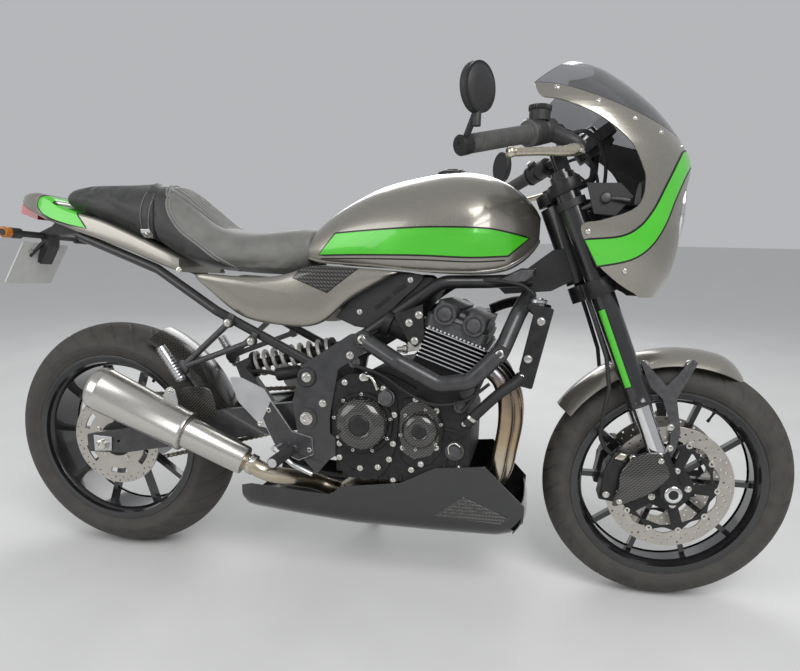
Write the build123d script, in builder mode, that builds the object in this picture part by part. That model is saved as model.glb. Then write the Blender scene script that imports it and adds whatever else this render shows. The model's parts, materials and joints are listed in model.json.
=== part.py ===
from build123d import *

import os
from math import atan2, cos, degrees, hypot, radians, sin, tan

# Cafe racer motorcycle, all sizes in millimetres and degrees.
# It is drawn upright: X forward, Y to its left, Z up, origin on the ground below the rear axle.
# At the end the whole machine is leaned on its side stand and centred over the origin.

# Driving dimensions
WHEELBASE = 1465.0
LEAN = 5.5
RAKE = 24.0
AXLE_OFFSET = 32.5
LEG_OFFSET = 30.0
LEG_HALF_GAP = 105.0
FRONT_TYRE_WIDTH = 120.0
FRONT_CROWN_RADIUS = 62.0
REAR_TYRE_WIDTH = 180.0
REAR_CROWN_RADIUS = 100.0
BEAD_RADIUS = 222.0
FRONT_SIDEWALL = 78.0
REAR_SIDEWALL = 94.0
FRONT_BEAD_HALF = 45.0
REAR_BEAD_HALF = 68.0
AXLE_RADIUS = 12.5
AXLE_PLAY = 0.4
SEAT_FIT = 0.3
FRONT_DISC_RADIUS = 150.0
FRONT_DISC_OFFSET = 67.0
REAR_DISC_RADIUS = 125.0
REAR_DISC_OFFSET = 71.0
DISC_THICKNESS = 5.0

# Places worked out from them
FRONT_RADIUS = BEAD_RADIUS + FRONT_SIDEWALL
REAR_RADIUS = BEAD_RADIUS + REAR_SIDEWALL
RAKE_SIN = sin(radians(RAKE))
RAKE_COS = cos(radians(RAKE))
STEERING_FOOT = (
    WHEELBASE - AXLE_OFFSET * RAKE_COS,
    0.0,
    FRONT_RADIUS - AXLE_OFFSET * RAKE_SIN,
)
STEERING = Plane(origin=STEERING_FOOT, x_dir=(RAKE_COS, 0, RAKE_SIN), z_dir=(-RAKE_SIN, 0, RAKE_COS))
FRONT_AXLE = (WHEELBASE, 0.0, FRONT_RADIUS)
REAR_AXLE = (0.0, 0.0, REAR_RADIUS)
FRONT_WHEEL = Plane(origin=FRONT_AXLE, x_dir=(1, 0, 0), z_dir=(0, -1, 0))
REAR_WHEEL = Plane(origin=REAR_AXLE, x_dir=(1, 0, 0), z_dir=(0, -1, 0))
ENGINE_TILT = 19.0
CRANK = (850.0, 0.0, 420.0)
ENGINE = Plane(
    origin=CRANK,
    x_dir=(cos(radians(ENGINE_TILT)), 0, -sin(radians(ENGINE_TILT))),
    z_dir=(sin(radians(ENGINE_TILT)), 0, cos(radians(ENGINE_TILT))),
)
PIVOT = (581.0, 0.0, 430.0)

pieces = {}


def around(place, outline):
    """Side outline of (x, z) points given from a place."""
    return [(place[0] + x, place[2] + z) for x, z in outline]


def at(place, x, y, z):
    """Point given from a place."""
    return (place[0] + x, place[1] + y, place[2] + z)


def plate(outline, inner, outer, corner=0.0):
    """Plate with a side outline of (x, z) points, on the right from inner to outer off the centre."""
    with BuildPart() as piece:
        with BuildSketch(Plane.XZ.offset(inner)) as side:
            with BuildLine():
                Polyline(*outline, close=True)
            make_face()
            if corner:
                fillet(side.vertices(), corner)
        extrude(amount=outer - inner)
    return piece.part


def bent_tube(points, radius, bend):
    """Round tube along straight runs joined by arcs of one bend radius."""
    with BuildPart() as piece:
        with BuildLine() as route:
            FilletPolyline(*points, radius=bend)
        with BuildSketch(Plane(origin=route.line @ 0, z_dir=route.line % 0)):
            Circle(radius)
        sweep(path=route.line)
    return piece.part


def rod(start, end, radius, hole=0.0):
    """Straight round rod or tube between two points."""
    direction = Vector(*end) - Vector(*start)
    with BuildPart(Plane(origin=start, z_dir=direction)) as piece:
        Cylinder(radius, direction.length, align=(Align.CENTER, Align.CENTER, Align.MIN))
        if hole:
            Cylinder(hole, direction.length, align=(Align.CENTER, Align.CENTER, Align.MIN), mode=Mode.SUBTRACT)
    return piece.part


def turned(plane, outline):
    """Body turned about a wheel plane's axle from (side, radius) points."""
    centre = plane.origin
    with BuildPart() as piece:
        with BuildSketch(Plane(origin=centre, x_dir=(0, 1, 0), z_dir=(1, 0, 0))):
            with BuildLine():
                Polyline(*outline, close=True)
            make_face()
        revolve(axis=Axis(centre, (0, 1, 0)))
    return piece.part


def spun(start, direction, outline):
    """Body turned about a line from (distance along it, radius) points."""
    across_line = Plane(origin=start, z_dir=direction).x_dir
    with BuildPart() as piece:
        with BuildSketch(Plane(origin=start, x_dir=direction, z_dir=across_line)):
            with BuildLine():
                Polyline(*outline, close=True)
            make_face()
        revolve(axis=Axis(start, direction))
    return piece.part


def body_of(sections, ruled=True):
    """Closed body through upright cross sections: (x, low, high, half low, half high, corner low, corner high)."""
    with BuildPart() as piece:
        for x, low, high, half_low, half_high, corner_low, corner_high in sections:
            with BuildSketch(Plane(origin=(x, 0, 0), x_dir=(0, 1, 0), z_dir=(1, 0, 0))) as across:
                with BuildLine():
                    Polyline((-half_low, low), (half_low, low), (half_high, high), (-half_high, high), close=True)
                make_face()
                fillet(across.vertices().group_by(Axis.Y)[0], corner_low)
                fillet(across.vertices().group_by(Axis.Y)[-1], corner_high)
        loft(ruled=ruled)
    return piece.part


# Wheels


def tyre(centre, radius, width, crown, bead_half):
    """Road tyre: crown arc, straight sidewalls and a flat bead."""
    half = width / 2
    shoulder = radius - crown + (crown**2 - half**2) ** 0.5
    with BuildPart() as piece:
        with BuildSketch(Plane(origin=centre, x_dir=(0, 1, 0), z_dir=(1, 0, 0))):
            with BuildLine():
                ThreePointArc((-half, shoulder), (0, radius), (half, shoulder))
                Polyline((half, shoulder), (bead_half, BEAD_RADIUS), (-bead_half, BEAD_RADIUS), (-half, shoulder))
            make_face()
        revolve(axis=Axis(centre, (0, 1, 0)))
    return piece.part


RIM_LIP = 9.0
BARREL_RADIUS = BEAD_RADIUS - 16
SPOKE_PAIRS = 5
SPOKE_FOOT_SPREAD = 7.0
SPOKE_TIP_SPREAD = 17.0
SPOKE_WIDTH = 13.0
SPOKE_DEPTH = 24.0
HUB_RADIUS = 34.0


def rim(plane, bead_half, hub_half):
    """Cast wheel: barrel with two flanges, hub with the axle bore and thin spokes in V pairs."""
    outline = [(bead_half + 0.6, BEAD_RADIUS - SEAT_FIT), (bead_half + 5.2, BEAD_RADIUS + RIM_LIP)]
    outline += [(bead_half + 9, BEAD_RADIUS + RIM_LIP), (bead_half + 9, BEAD_RADIUS - 8)]
    outline += [(bead_half - 15, BARREL_RADIUS)]
    outline += [(-side, high) for side, high in reversed(outline)]
    foot = Vector(HUB_RADIUS - 6, 0)
    tip = Vector(BARREL_RADIUS + 6, 0)
    with BuildPart() as piece:
        add(turned(plane, outline))
        with BuildSketch(plane.offset(-hub_half)):
            Circle(HUB_RADIUS)
        extrude(amount=2 * hub_half)
        with BuildSketch(plane.offset(-SPOKE_DEPTH / 2)):
            for pair in range(SPOKE_PAIRS):
                for side in (-1, 1):
                    middle = 90 + pair * 360 / SPOKE_PAIRS
                    inner = foot.rotate(Axis.Z, middle + side * SPOKE_FOOT_SPREAD)
                    outer = tip.rotate(Axis.Z, middle + side * SPOKE_TIP_SPREAD)
                    run = outer - inner
                    with Locations(Location((inner + outer) / 2, degrees(atan2(run.Y, run.X)))):
                        Rectangle(run.length, SPOKE_WIDTH)
        extrude(amount=SPOKE_DEPTH)
        with BuildSketch(plane.offset(-hub_half)):
            Circle(AXLE_RADIUS + AXLE_PLAY)
        extrude(amount=2 * hub_half, mode=Mode.SUBTRACT)
    return piece.part


BOBBIN = 9.0


def brake_disc(plane, offset, radius, band, carrier_arms):
    """Brake disc with a scalloped inner edge on its carrier, offset to the right of the wheel's centre."""
    with BuildPart() as piece:
        with BuildSketch(plane.offset(offset - DISC_THICKNESS / 2)):
            Circle(radius)
            Circle(radius - band, mode=Mode.SUBTRACT)
            with PolarLocations(radius - band, carrier_arms, start_angle=180 / carrier_arms):
                Circle(2 * BOBBIN, mode=Mode.SUBTRACT)
            with PolarLocations(radius - band, carrier_arms):
                Circle(BOBBIN)
            with PolarLocations(0, carrier_arms):
                Rectangle(radius - band, BOBBIN, align=(Align.MIN, Align.CENTER))
            Circle(52)
            Circle(20, mode=Mode.SUBTRACT)
        extrude(amount=DISC_THICKNESS)
    return piece.part


FRONT_HUB_HALF = FRONT_DISC_OFFSET - DISC_THICKNESS / 2 - SEAT_FIT
REAR_HUB_HALF = REAR_DISC_OFFSET - DISC_THICKNESS / 2 - SEAT_FIT

pieces["front_tyre"] = tyre(FRONT_AXLE, FRONT_RADIUS, FRONT_TYRE_WIDTH, FRONT_CROWN_RADIUS, FRONT_BEAD_HALF)
pieces["rear_tyre"] = tyre(REAR_AXLE, REAR_RADIUS, REAR_TYRE_WIDTH, REAR_CROWN_RADIUS, REAR_BEAD_HALF)
pieces["front_rim"] = rim(FRONT_WHEEL, FRONT_BEAD_HALF, FRONT_HUB_HALF)
pieces["rear_rim"] = rim(REAR_WHEEL, REAR_BEAD_HALF, REAR_HUB_HALF)

with BuildPart() as front_discs:
    add(brake_disc(FRONT_WHEEL, FRONT_DISC_OFFSET, FRONT_DISC_RADIUS, 33, 10))
    mirror(about=Plane.XZ)
pieces["front_discs"] = front_discs.part
pieces["rear_disc"] = brake_disc(REAR_WHEEL, REAR_DISC_OFFSET, REAR_DISC_RADIUS, 32, 6)

# Chain drive on the left

CHAIN_OFFSET = 103.0
CHAIN_WIDTH = 15.0
CHAIN_HEIGHT = 15.0
REAR_PITCH_RADIUS = 98.0
FRONT_PITCH_RADIUS = 40.0
OUTPUT_SHAFT = (655.0, 0.0, 440.0)

with BuildPart() as rear_sprocket:
    with BuildSketch(REAR_WHEEL.offset(-REAR_HUB_HALF - SEAT_FIT)):
        Circle(48)
        Circle(20, mode=Mode.SUBTRACT)
    extrude(amount=-(CHAIN_OFFSET - REAR_HUB_HALF - SEAT_FIT))
    with BuildSketch(REAR_WHEEL.offset(-CHAIN_OFFSET - 2)):
        Circle(REAR_PITCH_RADIUS - CHAIN_HEIGHT / 2 - SEAT_FIT)
        Circle(20, mode=Mode.SUBTRACT)
    extrude(amount=4)
pieces["rear_sprocket"] = rear_sprocket.part

chain_span = hypot(OUTPUT_SHAFT[0] - REAR_AXLE[0], OUTPUT_SHAFT[2] - REAR_AXLE[2])
chain_rise = degrees(atan2(OUTPUT_SHAFT[2] - REAR_AXLE[2], OUTPUT_SHAFT[0] - REAR_AXLE[0]))
chain_lean = degrees(atan2(REAR_PITCH_RADIUS - FRONT_PITCH_RADIUS, chain_span))


def chain_loop(grow):
    """Outline round both sprockets, grown about the pitch line, as (x, z) points and two arcs."""
    corners = []
    for centre, radius in ((REAR_AXLE, REAR_PITCH_RADIUS), (OUTPUT_SHAFT, FRONT_PITCH_RADIUS)):
        for turn in (90 - chain_lean, chain_lean - 90):
            heading = radians(chain_rise + turn)
            reach = radius + grow
            corners.append((centre[0] + reach * cos(heading), centre[2] + reach * sin(heading)))
    far_rear = radians(chain_rise + 180)
    far_front = radians(chain_rise)
    rear_end = (
        REAR_AXLE[0] + (REAR_PITCH_RADIUS + grow) * cos(far_rear),
        REAR_AXLE[2] + (REAR_PITCH_RADIUS + grow) * sin(far_rear),
    )
    front_end = (
        OUTPUT_SHAFT[0] + (FRONT_PITCH_RADIUS + grow) * cos(far_front),
        OUTPUT_SHAFT[2] + (FRONT_PITCH_RADIUS + grow) * sin(far_front),
    )
    return corners, rear_end, front_end


with BuildPart() as chain:
    for grow, mode in ((CHAIN_HEIGHT / 2, Mode.ADD), (-CHAIN_HEIGHT / 2, Mode.SUBTRACT)):
        (rear_top, rear_low, front_top, front_low), rear_end, front_end = chain_loop(grow)
        with BuildSketch(Plane.XZ.offset(-CHAIN_OFFSET - CHAIN_WIDTH / 2)):
            with BuildLine():
                Line(rear_top, front_top)
                ThreePointArc(front_top, front_end, front_low)
                Line(front_low, rear_low)
                ThreePointArc(rear_low, rear_end, rear_top)
            make_face()
        extrude(amount=CHAIN_WIDTH, mode=mode)
pieces["chain"] = chain.part

# Fork and clamps, drawn along the steering axis

LEG_TOP = 768.0
TUBE_BOTTOM = 232.0
FOOT_TOP = 100.0
TUBE_RADIUS = 27.0
SLIDER_RADIUS = 20.5
LOWER_CLAMP = 492.0
LOWER_CLAMP_HEIGHT = 38.0
TOP_CLAMP = 728.0
TOP_CLAMP_HEIGHT = 26.0
STEM_RADIUS = 16.0
CLAMP_FIT = 0.3
CLAMP_MIDDLE = 24.0
CLAMP_DEPTH = 60.0
LEGS = [(LEG_OFFSET, -LEG_HALF_GAP), (LEG_OFFSET, LEG_HALF_GAP)]

with BuildPart() as triple_clamps:
    for low, height in ((LOWER_CLAMP, LOWER_CLAMP_HEIGHT), (TOP_CLAMP, TOP_CLAMP_HEIGHT)):
        with BuildSketch(STEERING.offset(low)):
            with Locations(*LEGS):
                Circle(TUBE_RADIUS + 9)
            Circle(34)
            with Locations((CLAMP_MIDDLE, 0)):
                Rectangle(CLAMP_DEPTH, 2 * LEG_HALF_GAP)
            with Locations(*LEGS):
                Circle(TUBE_RADIUS + CLAMP_FIT, mode=Mode.SUBTRACT)
        extrude(amount=height)
    with BuildSketch(STEERING.offset(LOWER_CLAMP)):
        Circle(STEM_RADIUS)
    extrude(amount=TOP_CLAMP - LOWER_CLAMP)
    with BuildSketch(STEERING.offset(TOP_CLAMP + TOP_CLAMP_HEIGHT)):
        Circle(15)
    extrude(amount=8)
pieces["triple_clamps"] = triple_clamps.part

with BuildPart() as fork_tubes:
    with BuildSketch(STEERING.offset(TUBE_BOTTOM)):
        with Locations(*LEGS):
            Circle(TUBE_RADIUS)
    extrude(amount=LEG_TOP - TUBE_BOTTOM)
    with BuildSketch(STEERING.offset(LEG_TOP)):
        with Locations(*LEGS):
            Circle(TUBE_RADIUS - 5)
    extrude(amount=8)
pieces["fork_tubes"] = fork_tubes.part

CALIPER_FACE = -97.0
FOOT_WIDTH = 38.0
FOOT_INNER = 91.0
with BuildPart() as fork_sliders:
    slider_start = FOOT_TOP - 5
    with BuildSketch(STEERING.offset(slider_start)):
        with Locations(*LEGS):
            Circle(SLIDER_RADIUS)
    extrude(amount=TUBE_BOTTOM - slider_start)
    foot_side = FOOT_INNER + FOOT_WIDTH / 2
    with BuildSketch(STEERING.offset(-8)):
        with Locations((LEG_OFFSET, -foot_side), (LEG_OFFSET, foot_side)):
            RectangleRounded(50, FOOT_WIDTH, 12)
    extrude(amount=FOOT_TOP + 8)
    lug_face = CALIPER_FACE + SEAT_FIT
    lug = around(FRONT_AXLE, [(lug_face, 68), (lug_face, 0), (-61, -16), (-29, 0), (-45, 84)])
    add(plate(lug, FOOT_INNER, FOOT_INNER + 13, 3))
    add(plate(lug, -FOOT_INNER - 13, -FOOT_INNER, 3))
    for near in (-FOOT_INNER - FOOT_WIDTH, FOOT_INNER):
        with BuildSketch(Plane(origin=(0, near, 0), x_dir=(1, 0, 0), z_dir=(0, 1, 0))):
            with Locations((FRONT_AXLE[0], -FRONT_AXLE[2])):
                Circle(27)
        extrude(amount=FOOT_WIDTH)
        with BuildSketch(Plane(origin=(0, near, 0), x_dir=(1, 0, 0), z_dir=(0, 1, 0))):
            with Locations((FRONT_AXLE[0], -FRONT_AXLE[2])):
                Circle(AXLE_RADIUS + SEAT_FIT)
        extrude(amount=FOOT_WIDTH, mode=Mode.SUBTRACT)
pieces["fork_sliders"] = fork_sliders.part

FRONT_SPACER_RADIUS = 17.0
with BuildPart() as front_axle:
    end = FOOT_INNER + FOOT_WIDTH
    add(rod((WHEELBASE, -end, FRONT_RADIUS), (WHEELBASE, end, FRONT_RADIUS), AXLE_RADIUS))
    for side in (-1, 1):
        start = (WHEELBASE, side * (FRONT_HUB_HALF + SEAT_FIT), FRONT_RADIUS)
        stop = (WHEELBASE, side * (FOOT_INNER - SEAT_FIT), FRONT_RADIUS)
        add(rod(start, stop, FRONT_SPACER_RADIUS))
    add(rod((WHEELBASE, -end - 6, FRONT_RADIUS), (WHEELBASE, -end - SEAT_FIT, FRONT_RADIUS), 19))
    add(rod((WHEELBASE, -end - 1, FRONT_RADIUS), (WHEELBASE, -end, FRONT_RADIUS), AXLE_RADIUS))
pieces["front_axle"] = front_axle.part

# Front brake calipers over the discs, behind the fork legs

CALIPER_SLOT = 6.0
with BuildPart() as front_calipers:
    caliper_side = [(-167, -32), (-121, -38), (CALIPER_FACE, -8), (CALIPER_FACE, 72), (-119, 92), (-155, 52)]
    add(plate(around(FRONT_AXLE, caliper_side), FRONT_DISC_OFFSET - 24, FRONT_DISC_OFFSET + 38, 6))
    slot_inner = FRONT_DISC_OFFSET - DISC_THICKNESS / 2 - CALIPER_SLOT
    slot_outer = FRONT_DISC_OFFSET + DISC_THICKNESS / 2 + CALIPER_SLOT
    with BuildSketch(FRONT_WHEEL.offset(slot_inner)):
        Circle(FRONT_DISC_RADIUS + CALIPER_SLOT)
    extrude(amount=slot_outer - slot_inner, mode=Mode.SUBTRACT)
    mirror(about=Plane.XZ)
pieces["front_calipers"] = front_calipers.part

# Front fender and its stays

FENDER_RADIUS = FRONT_RADIUS + 32
FENDER_HALF = 72.0
FENDER_LIP_RADIUS = FRONT_RADIUS - 8
FENDER_WALL = 3.0
FENDER_FRONT = 62.0
FENDER_SWEEP = 84.0

with BuildPart() as front_fender:
    start_dir = Vector(cos(radians(FENDER_FRONT)), 0, sin(radians(FENDER_FRONT)))
    section_plane = Plane(origin=FRONT_AXLE, x_dir=(0, 1, 0), z_dir=start_dir.cross(Vector(0, 1, 0)) * -1)
    with BuildSketch(section_plane):
        with BuildLine():
            ThreePointArc((-FENDER_HALF, FENDER_LIP_RADIUS), (0, FENDER_RADIUS), (FENDER_HALF, FENDER_LIP_RADIUS))
            Line((FENDER_HALF, FENDER_LIP_RADIUS), (FENDER_HALF - FENDER_WALL, FENDER_LIP_RADIUS))
            ThreePointArc(
                (FENDER_HALF - FENDER_WALL, FENDER_LIP_RADIUS),
                (0, FENDER_RADIUS - FENDER_WALL),
                (FENDER_WALL - FENDER_HALF, FENDER_LIP_RADIUS),
            )
            Line((FENDER_WALL - FENDER_HALF, FENDER_LIP_RADIUS), (-FENDER_HALF, FENDER_LIP_RADIUS))
        make_face()
    revolve(axis=Axis(FRONT_AXLE, (0, -1, 0)), revolution_arc=FENDER_SWEEP)
pieces["front_fender"] = front_fender.part

STAY_OUTER = FOOT_INNER - SEAT_FIT
STAY_INNER = STAY_OUTER - 6.0
with BuildPart() as fender_stays:
    stay_side = [(-103, 306), (-89, 300), (-37, 248), (13, 312), (25, 304), (-11, 220), (7, 140)]
    stay_side += [(1, 98), (-13, 62), (-35, 62), (-37, 72), (-15, 101), (-14, 146), (-41, 216), (-73, 244)]
    add(plate(around(FRONT_AXLE, stay_side), STAY_INNER, STAY_OUTER, 3))
    for x, z in around(FRONT_AXLE, [(-89, 292), (11, 298)]):
        add(rod((x, -STAY_INNER, z), (x, -FENDER_HALF - SEAT_FIT, z), 6))
    mirror(about=Plane.XZ)
pieces["fender_stays"] = fender_stays.part

# Handlebar with grips, controls and mirrors. Right hand points, mirrored to the left

BAR_RADIUS = 11.0
GRIP_RADIUS = 16.5
BAR_FORWARD = 44.0
BAR_HEIGHT = 71.0
BAR_BEND = at(FRONT_AXLE, -319, -90, 760)
BAR_RISE = at(FRONT_AXLE, -327, -200, 776)
BAR_END = at(FRONT_AXLE, -491, -406, 710)


def along(start, end, share):
    """Point at a share of the way from start to end."""
    return tuple(a + (b - a) * share for a, b in zip(start, end))


def bar_tube(radius):
    """Whole bar from end to end."""
    right = [BAR_END, BAR_RISE, BAR_BEND]
    left = [(x, -y, z) for x, y, z in reversed(right)]
    return bent_tube(right + left, radius, 40)


with BuildPart() as handlebar:
    add(bar_tube(BAR_RADIUS))
    for side in (-38, 38):
        with BuildSketch(STEERING.offset(TOP_CLAMP + TOP_CLAMP_HEIGHT + SEAT_FIT)):
            with Locations((BAR_FORWARD, side)):
                Rectangle(28, 26)
        extrude(amount=BAR_HEIGHT + BAR_RADIUS)
pieces["handlebar"] = handlebar.part

GRIP_START = 0.36
with BuildPart() as grips:
    start = along(BAR_RISE, BAR_END, GRIP_START)
    add(rod(start, BAR_END, GRIP_RADIUS, BAR_RADIUS + SEAT_FIT))
    add(rod(start, along(BAR_RISE, BAR_END, GRIP_START + 0.03), 24, BAR_RADIUS + SEAT_FIT))
    mirror(about=Plane.XZ)
pieces["grips"] = grips.part

with BuildPart() as controls:
    housing_start = along(BAR_RISE, BAR_END, 0.10)
    housing_end = along(BAR_RISE, BAR_END, GRIP_START - 0.01)
    add(rod(housing_start, housing_end, 24, BAR_RADIUS + SEAT_FIT))
    pivot = at(FRONT_AXLE, -283, -234, 734)
    knuckle = at(FRONT_AXLE, -319, -300, 716)
    tip = at(FRONT_AXLE, -409, -392, 699)
    add(rod(along(BAR_RISE, BAR_END, 0.16), pivot, 12))
    add(bent_tube([pivot, knuckle, tip], 6, 30))
    add(bar_tube(BAR_RADIUS + SEAT_FIT), mode=Mode.SUBTRACT)
    mirror(about=Plane.XZ)
    with BuildSketch(Plane(origin=at(FRONT_AXLE, -369, -248, 780), z_dir=(0, 0, 1))):
        Circle(23)
    extrude(amount=28)
pieces["controls"] = controls.part

MIRROR_CENTRE = at(FRONT_AXLE, -476, -430, 797)
MIRROR_RADIUS = 41.0
with BuildPart() as mirrors:
    mirror_half = Vector(0.83, -0.55, 0).normalized() * 7
    mirror_back = tuple(Vector(*MIRROR_CENTRE) + mirror_half)
    add(rod(tuple(Vector(*MIRROR_CENTRE) - mirror_half), mirror_back, MIRROR_RADIUS))
    add(rod(along(BAR_RISE, BAR_END, 1.05), at(FRONT_AXLE, -477, -428, 762), 6))
    add(rod(along(BAR_RISE, BAR_END, 1.002), along(BAR_RISE, BAR_END, 1.08), GRIP_RADIUS + 1))
    mirror(about=Plane.XZ)
pieces["mirrors"] = mirrors.part

# Headlight, instruments, fairing and screen

HEADLIGHT_CENTRE = at(FRONT_AXLE, -135, 0, 640)
HEADLIGHT_CLAMP = 694.0
HEADLIGHT_RADIUS = 90.0
with BuildPart() as headlight:
    bucket = [(0, 0), (0, 60), (60, 88), (60, HEADLIGHT_RADIUS), (80, HEADLIGHT_RADIUS), (86, 80), (86, 0)]
    add(spun(HEADLIGHT_CENTRE, (1, 0, 0), bucket))
    for side in (-1, 1):
        add(rod(at(HEADLIGHT_CENTRE, 10, side * 40, 0), at(HEADLIGHT_CENTRE, -118, side * LEG_HALF_GAP, 0), 7))
    with BuildSketch(STEERING.offset(HEADLIGHT_CLAMP)):
        with Locations(*LEGS):
            Circle(TUBE_RADIUS + 6)
            Circle(TUBE_RADIUS + CLAMP_FIT, mode=Mode.SUBTRACT)
    extrude(amount=16)
pieces["headlight"] = headlight.part

with BuildPart() as instruments:
    gauge_plane = Plane(origin=at(FRONT_AXLE, -247, 0, 786), x_dir=(0, 1, 0), z_dir=(-0.62, 0, 0.78))
    with BuildSketch(gauge_plane.offset(-18)):
        with Locations((-52, 0), (52, 0)):
            Circle(44)
    extrude(amount=36)
    with BuildSketch(gauge_plane.offset(-30)):
        Rectangle(110, 60)
    extrude(amount=36)
    stalk = [(CLAMP_MIDDLE + CLAMP_DEPTH / 2 + SEAT_FIT, 741), (100, 741), (128, 800)]
    add(bent_tube([STEERING.from_local_coords(Vector(u, 0, h)) for u, h in stalk], 9, 20))
pieces["instruments"] = instruments.part

FAIRING_WALL = 4.0
SCREEN_WALL = 4.0
# Level sections of the nose from the front axle: height, nose, half width, rear end
NOSE_SECTIONS = [
    (445, -73, 140, -185),
    (500, -47, 162, -235),
    (576, -35, 180, -275),
    (663, -29, 190, -285),
    (727, -31, 192, -315),
    (769, -52, 190, -365),
    (827, -101, 178, -405),
    (872, -154, 155, -405),
    (915, -217, 112, -395),
    (934, -257, 66, -365),
]
# Side outline of what is open behind the shell, and the line between paint and screen
FAIRING_REAR = [(-465, 871), (-386, 871), (-370, 841), (-330, 831), (-267, 807), (-224, 782), (-181, 748)]
FAIRING_REAR += [(-154, 705), (-146, 684), (-147, 647), (-167, 622), (-227, 601), (-262, 595), (-264, 574)]
FAIRING_REAR += [(-229, 517), (-172, 472), (-125, 447), (-125, 400), (-465, 400)]
SCREEN_LINE = [(-465, 871), (-386, 871), (-334, 863), (-250, 836), (-171, 810), (-90, 782), (-15, 750)]


def nose_shell(wall):
    """Thin shell through the level sections of the nose."""
    with BuildPart() as piece:
        for height, nose, half, rear in NOSE_SECTIONS:
            with BuildSketch(Plane(origin=at(FRONT_AXLE, 0, 0, height), z_dir=(0, 0, 1))):
                with BuildLine():
                    ThreePointArc((rear, -half), (nose, 0), (rear, half))
                    Line((rear, half), (rear, half - wall))
                    ThreePointArc((rear, half - wall), (nose - wall, 0), (rear, wall - half))
                    Line((rear, wall - half), (rear, -half))
                make_face()
        loft(ruled=True)
    return piece.part


with BuildPart() as fairing:
    add(nose_shell(FAIRING_WALL))
    add(plate(around(FRONT_AXLE, FAIRING_REAR), -260, 260), mode=Mode.SUBTRACT)
    above = SCREEN_LINE + [(-15, 1000), (-465, 1000)]
    add(plate(around(FRONT_AXLE, above), -260, 260), mode=Mode.SUBTRACT)
    mouth = rod(at(HEADLIGHT_CENTRE, 50, 0, 0), at(HEADLIGHT_CENTRE, 130, 0, 0), HEADLIGHT_RADIUS + SEAT_FIT)
    add(mouth, mode=Mode.SUBTRACT)
pieces["fairing"] = fairing.part

with BuildPart() as windscreen:
    add(nose_shell(SCREEN_WALL))
    below = [(x, z + SEAT_FIT) for x, z in SCREEN_LINE] + [(-15, 400), (-465, 400)]
    add(plate(around(FRONT_AXLE, below), -260, 260), mode=Mode.SUBTRACT)
    behind = [(-465, 850), (-386, 871), (-345, 906), (-275, 960), (-465, 1000)]
    add(plate(around(FRONT_AXLE, behind), -260, 260), mode=Mode.SUBTRACT)
pieces["windscreen"] = windscreen.part

with BuildPart() as brake_hoses:
    clip = [tuple(STEERING.from_local_coords(Vector(*place))) for place in ((-3, -112, 491.7), (-4, -114, 440))]
    hose_line = [(-181, -118, 310), (-168, -121, 240), (-175, -114, 170), (-175, -104, 120), (-162, -98, 94.5)]
    hose_route = clip + [at(FRONT_AXLE, *place) for place in hose_line + [(-137.8, -92.1, 72.8)]]
    add(bent_tube(hose_route, 5, 26))
    mirror(about=Plane.XZ)
pieces["brake_hoses"] = brake_hoses.part

# Frame

CASE_HALF = 150.0
HEAD_RADIUS = 33.0
GUSSET_HALF = 32.3
HEAD_LOW = LOWER_CLAMP + LOWER_CLAMP_HEIGHT + 6
HEAD_HIGH = TOP_CLAMP - 6
FRAME_TUBE = 15.0
CRADLE_TUBE = 19.0
RAIL_TUBE = 12.0

with BuildPart() as steering_head:
    with BuildSketch(STEERING.offset(HEAD_LOW)):
        Circle(HEAD_RADIUS)
    extrude(amount=HEAD_HIGH - HEAD_LOW)
    gusset = around(FRONT_AXLE, [(-315, 452), (-289, 466), (-265, 478), (-293, 550), (-319, 546), (-375, 502.5)])
    gusset += [(1030, 784), (1016, 764), (1040, 742)]
    add(plate(gusset, -GUSSET_HALF, GUSSET_HALF))
    with BuildSketch(STEERING.offset(HEAD_LOW)):
        Circle(STEM_RADIUS + AXLE_PLAY)
    extrude(amount=HEAD_HIGH - HEAD_LOW, mode=Mode.SUBTRACT)
pieces["steering_head"] = steering_head.part

PLATE_INNER = 143.0
PLATE_OUTER = 160.0
FRAME_SIDE = PLATE_INNER - FRAME_TUBE - SEAT_FIT

with BuildPart() as frame_tubes:
    add(bent_tube([(1100, -46, 776), (1010, -92, 770), (900, -118, 766), (714, -FRAME_SIDE, 634)], FRAME_TUBE, 60))
    mirror(about=Plane.XZ)
pieces["frame_tubes"] = frame_tubes.part

with BuildPart() as cradle_tubes:
    cradle_points = [(724, -178.7, 632), (815, -206, 586), (912, -208, 540), (982, -208, 549), (1048, -200, 617)]
    add(bent_tube(cradle_points + [(1078, -150, 700), (1098, -52, 738)], CRADLE_TUBE, 40))
    add(rod((908, -194, 536), (908, -CASE_HALF - SEAT_FIT, 536), 12))
    mirror(about=Plane.XZ)
pieces["cradle_tubes"] = cradle_tubes.part

PIVOT_RADIUS = 12.0
CASE_REAR = 655.0
MOUNT_FACE = CASE_REAR - SEAT_FIT
CROSS_TUBE = (674.0, 600.0)
CROSS_RADIUS = 13.0
STAND_PIVOT = (620.0, 176.0, 302.0)
STAND_FOOT = (668.0, 262.0, 38.0)
STAND_TILT = 15.0
STAND_AXIS = (0.0, cos(radians(STAND_TILT)), sin(radians(STAND_TILT)))
STAND_PIN = 8.0

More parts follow.
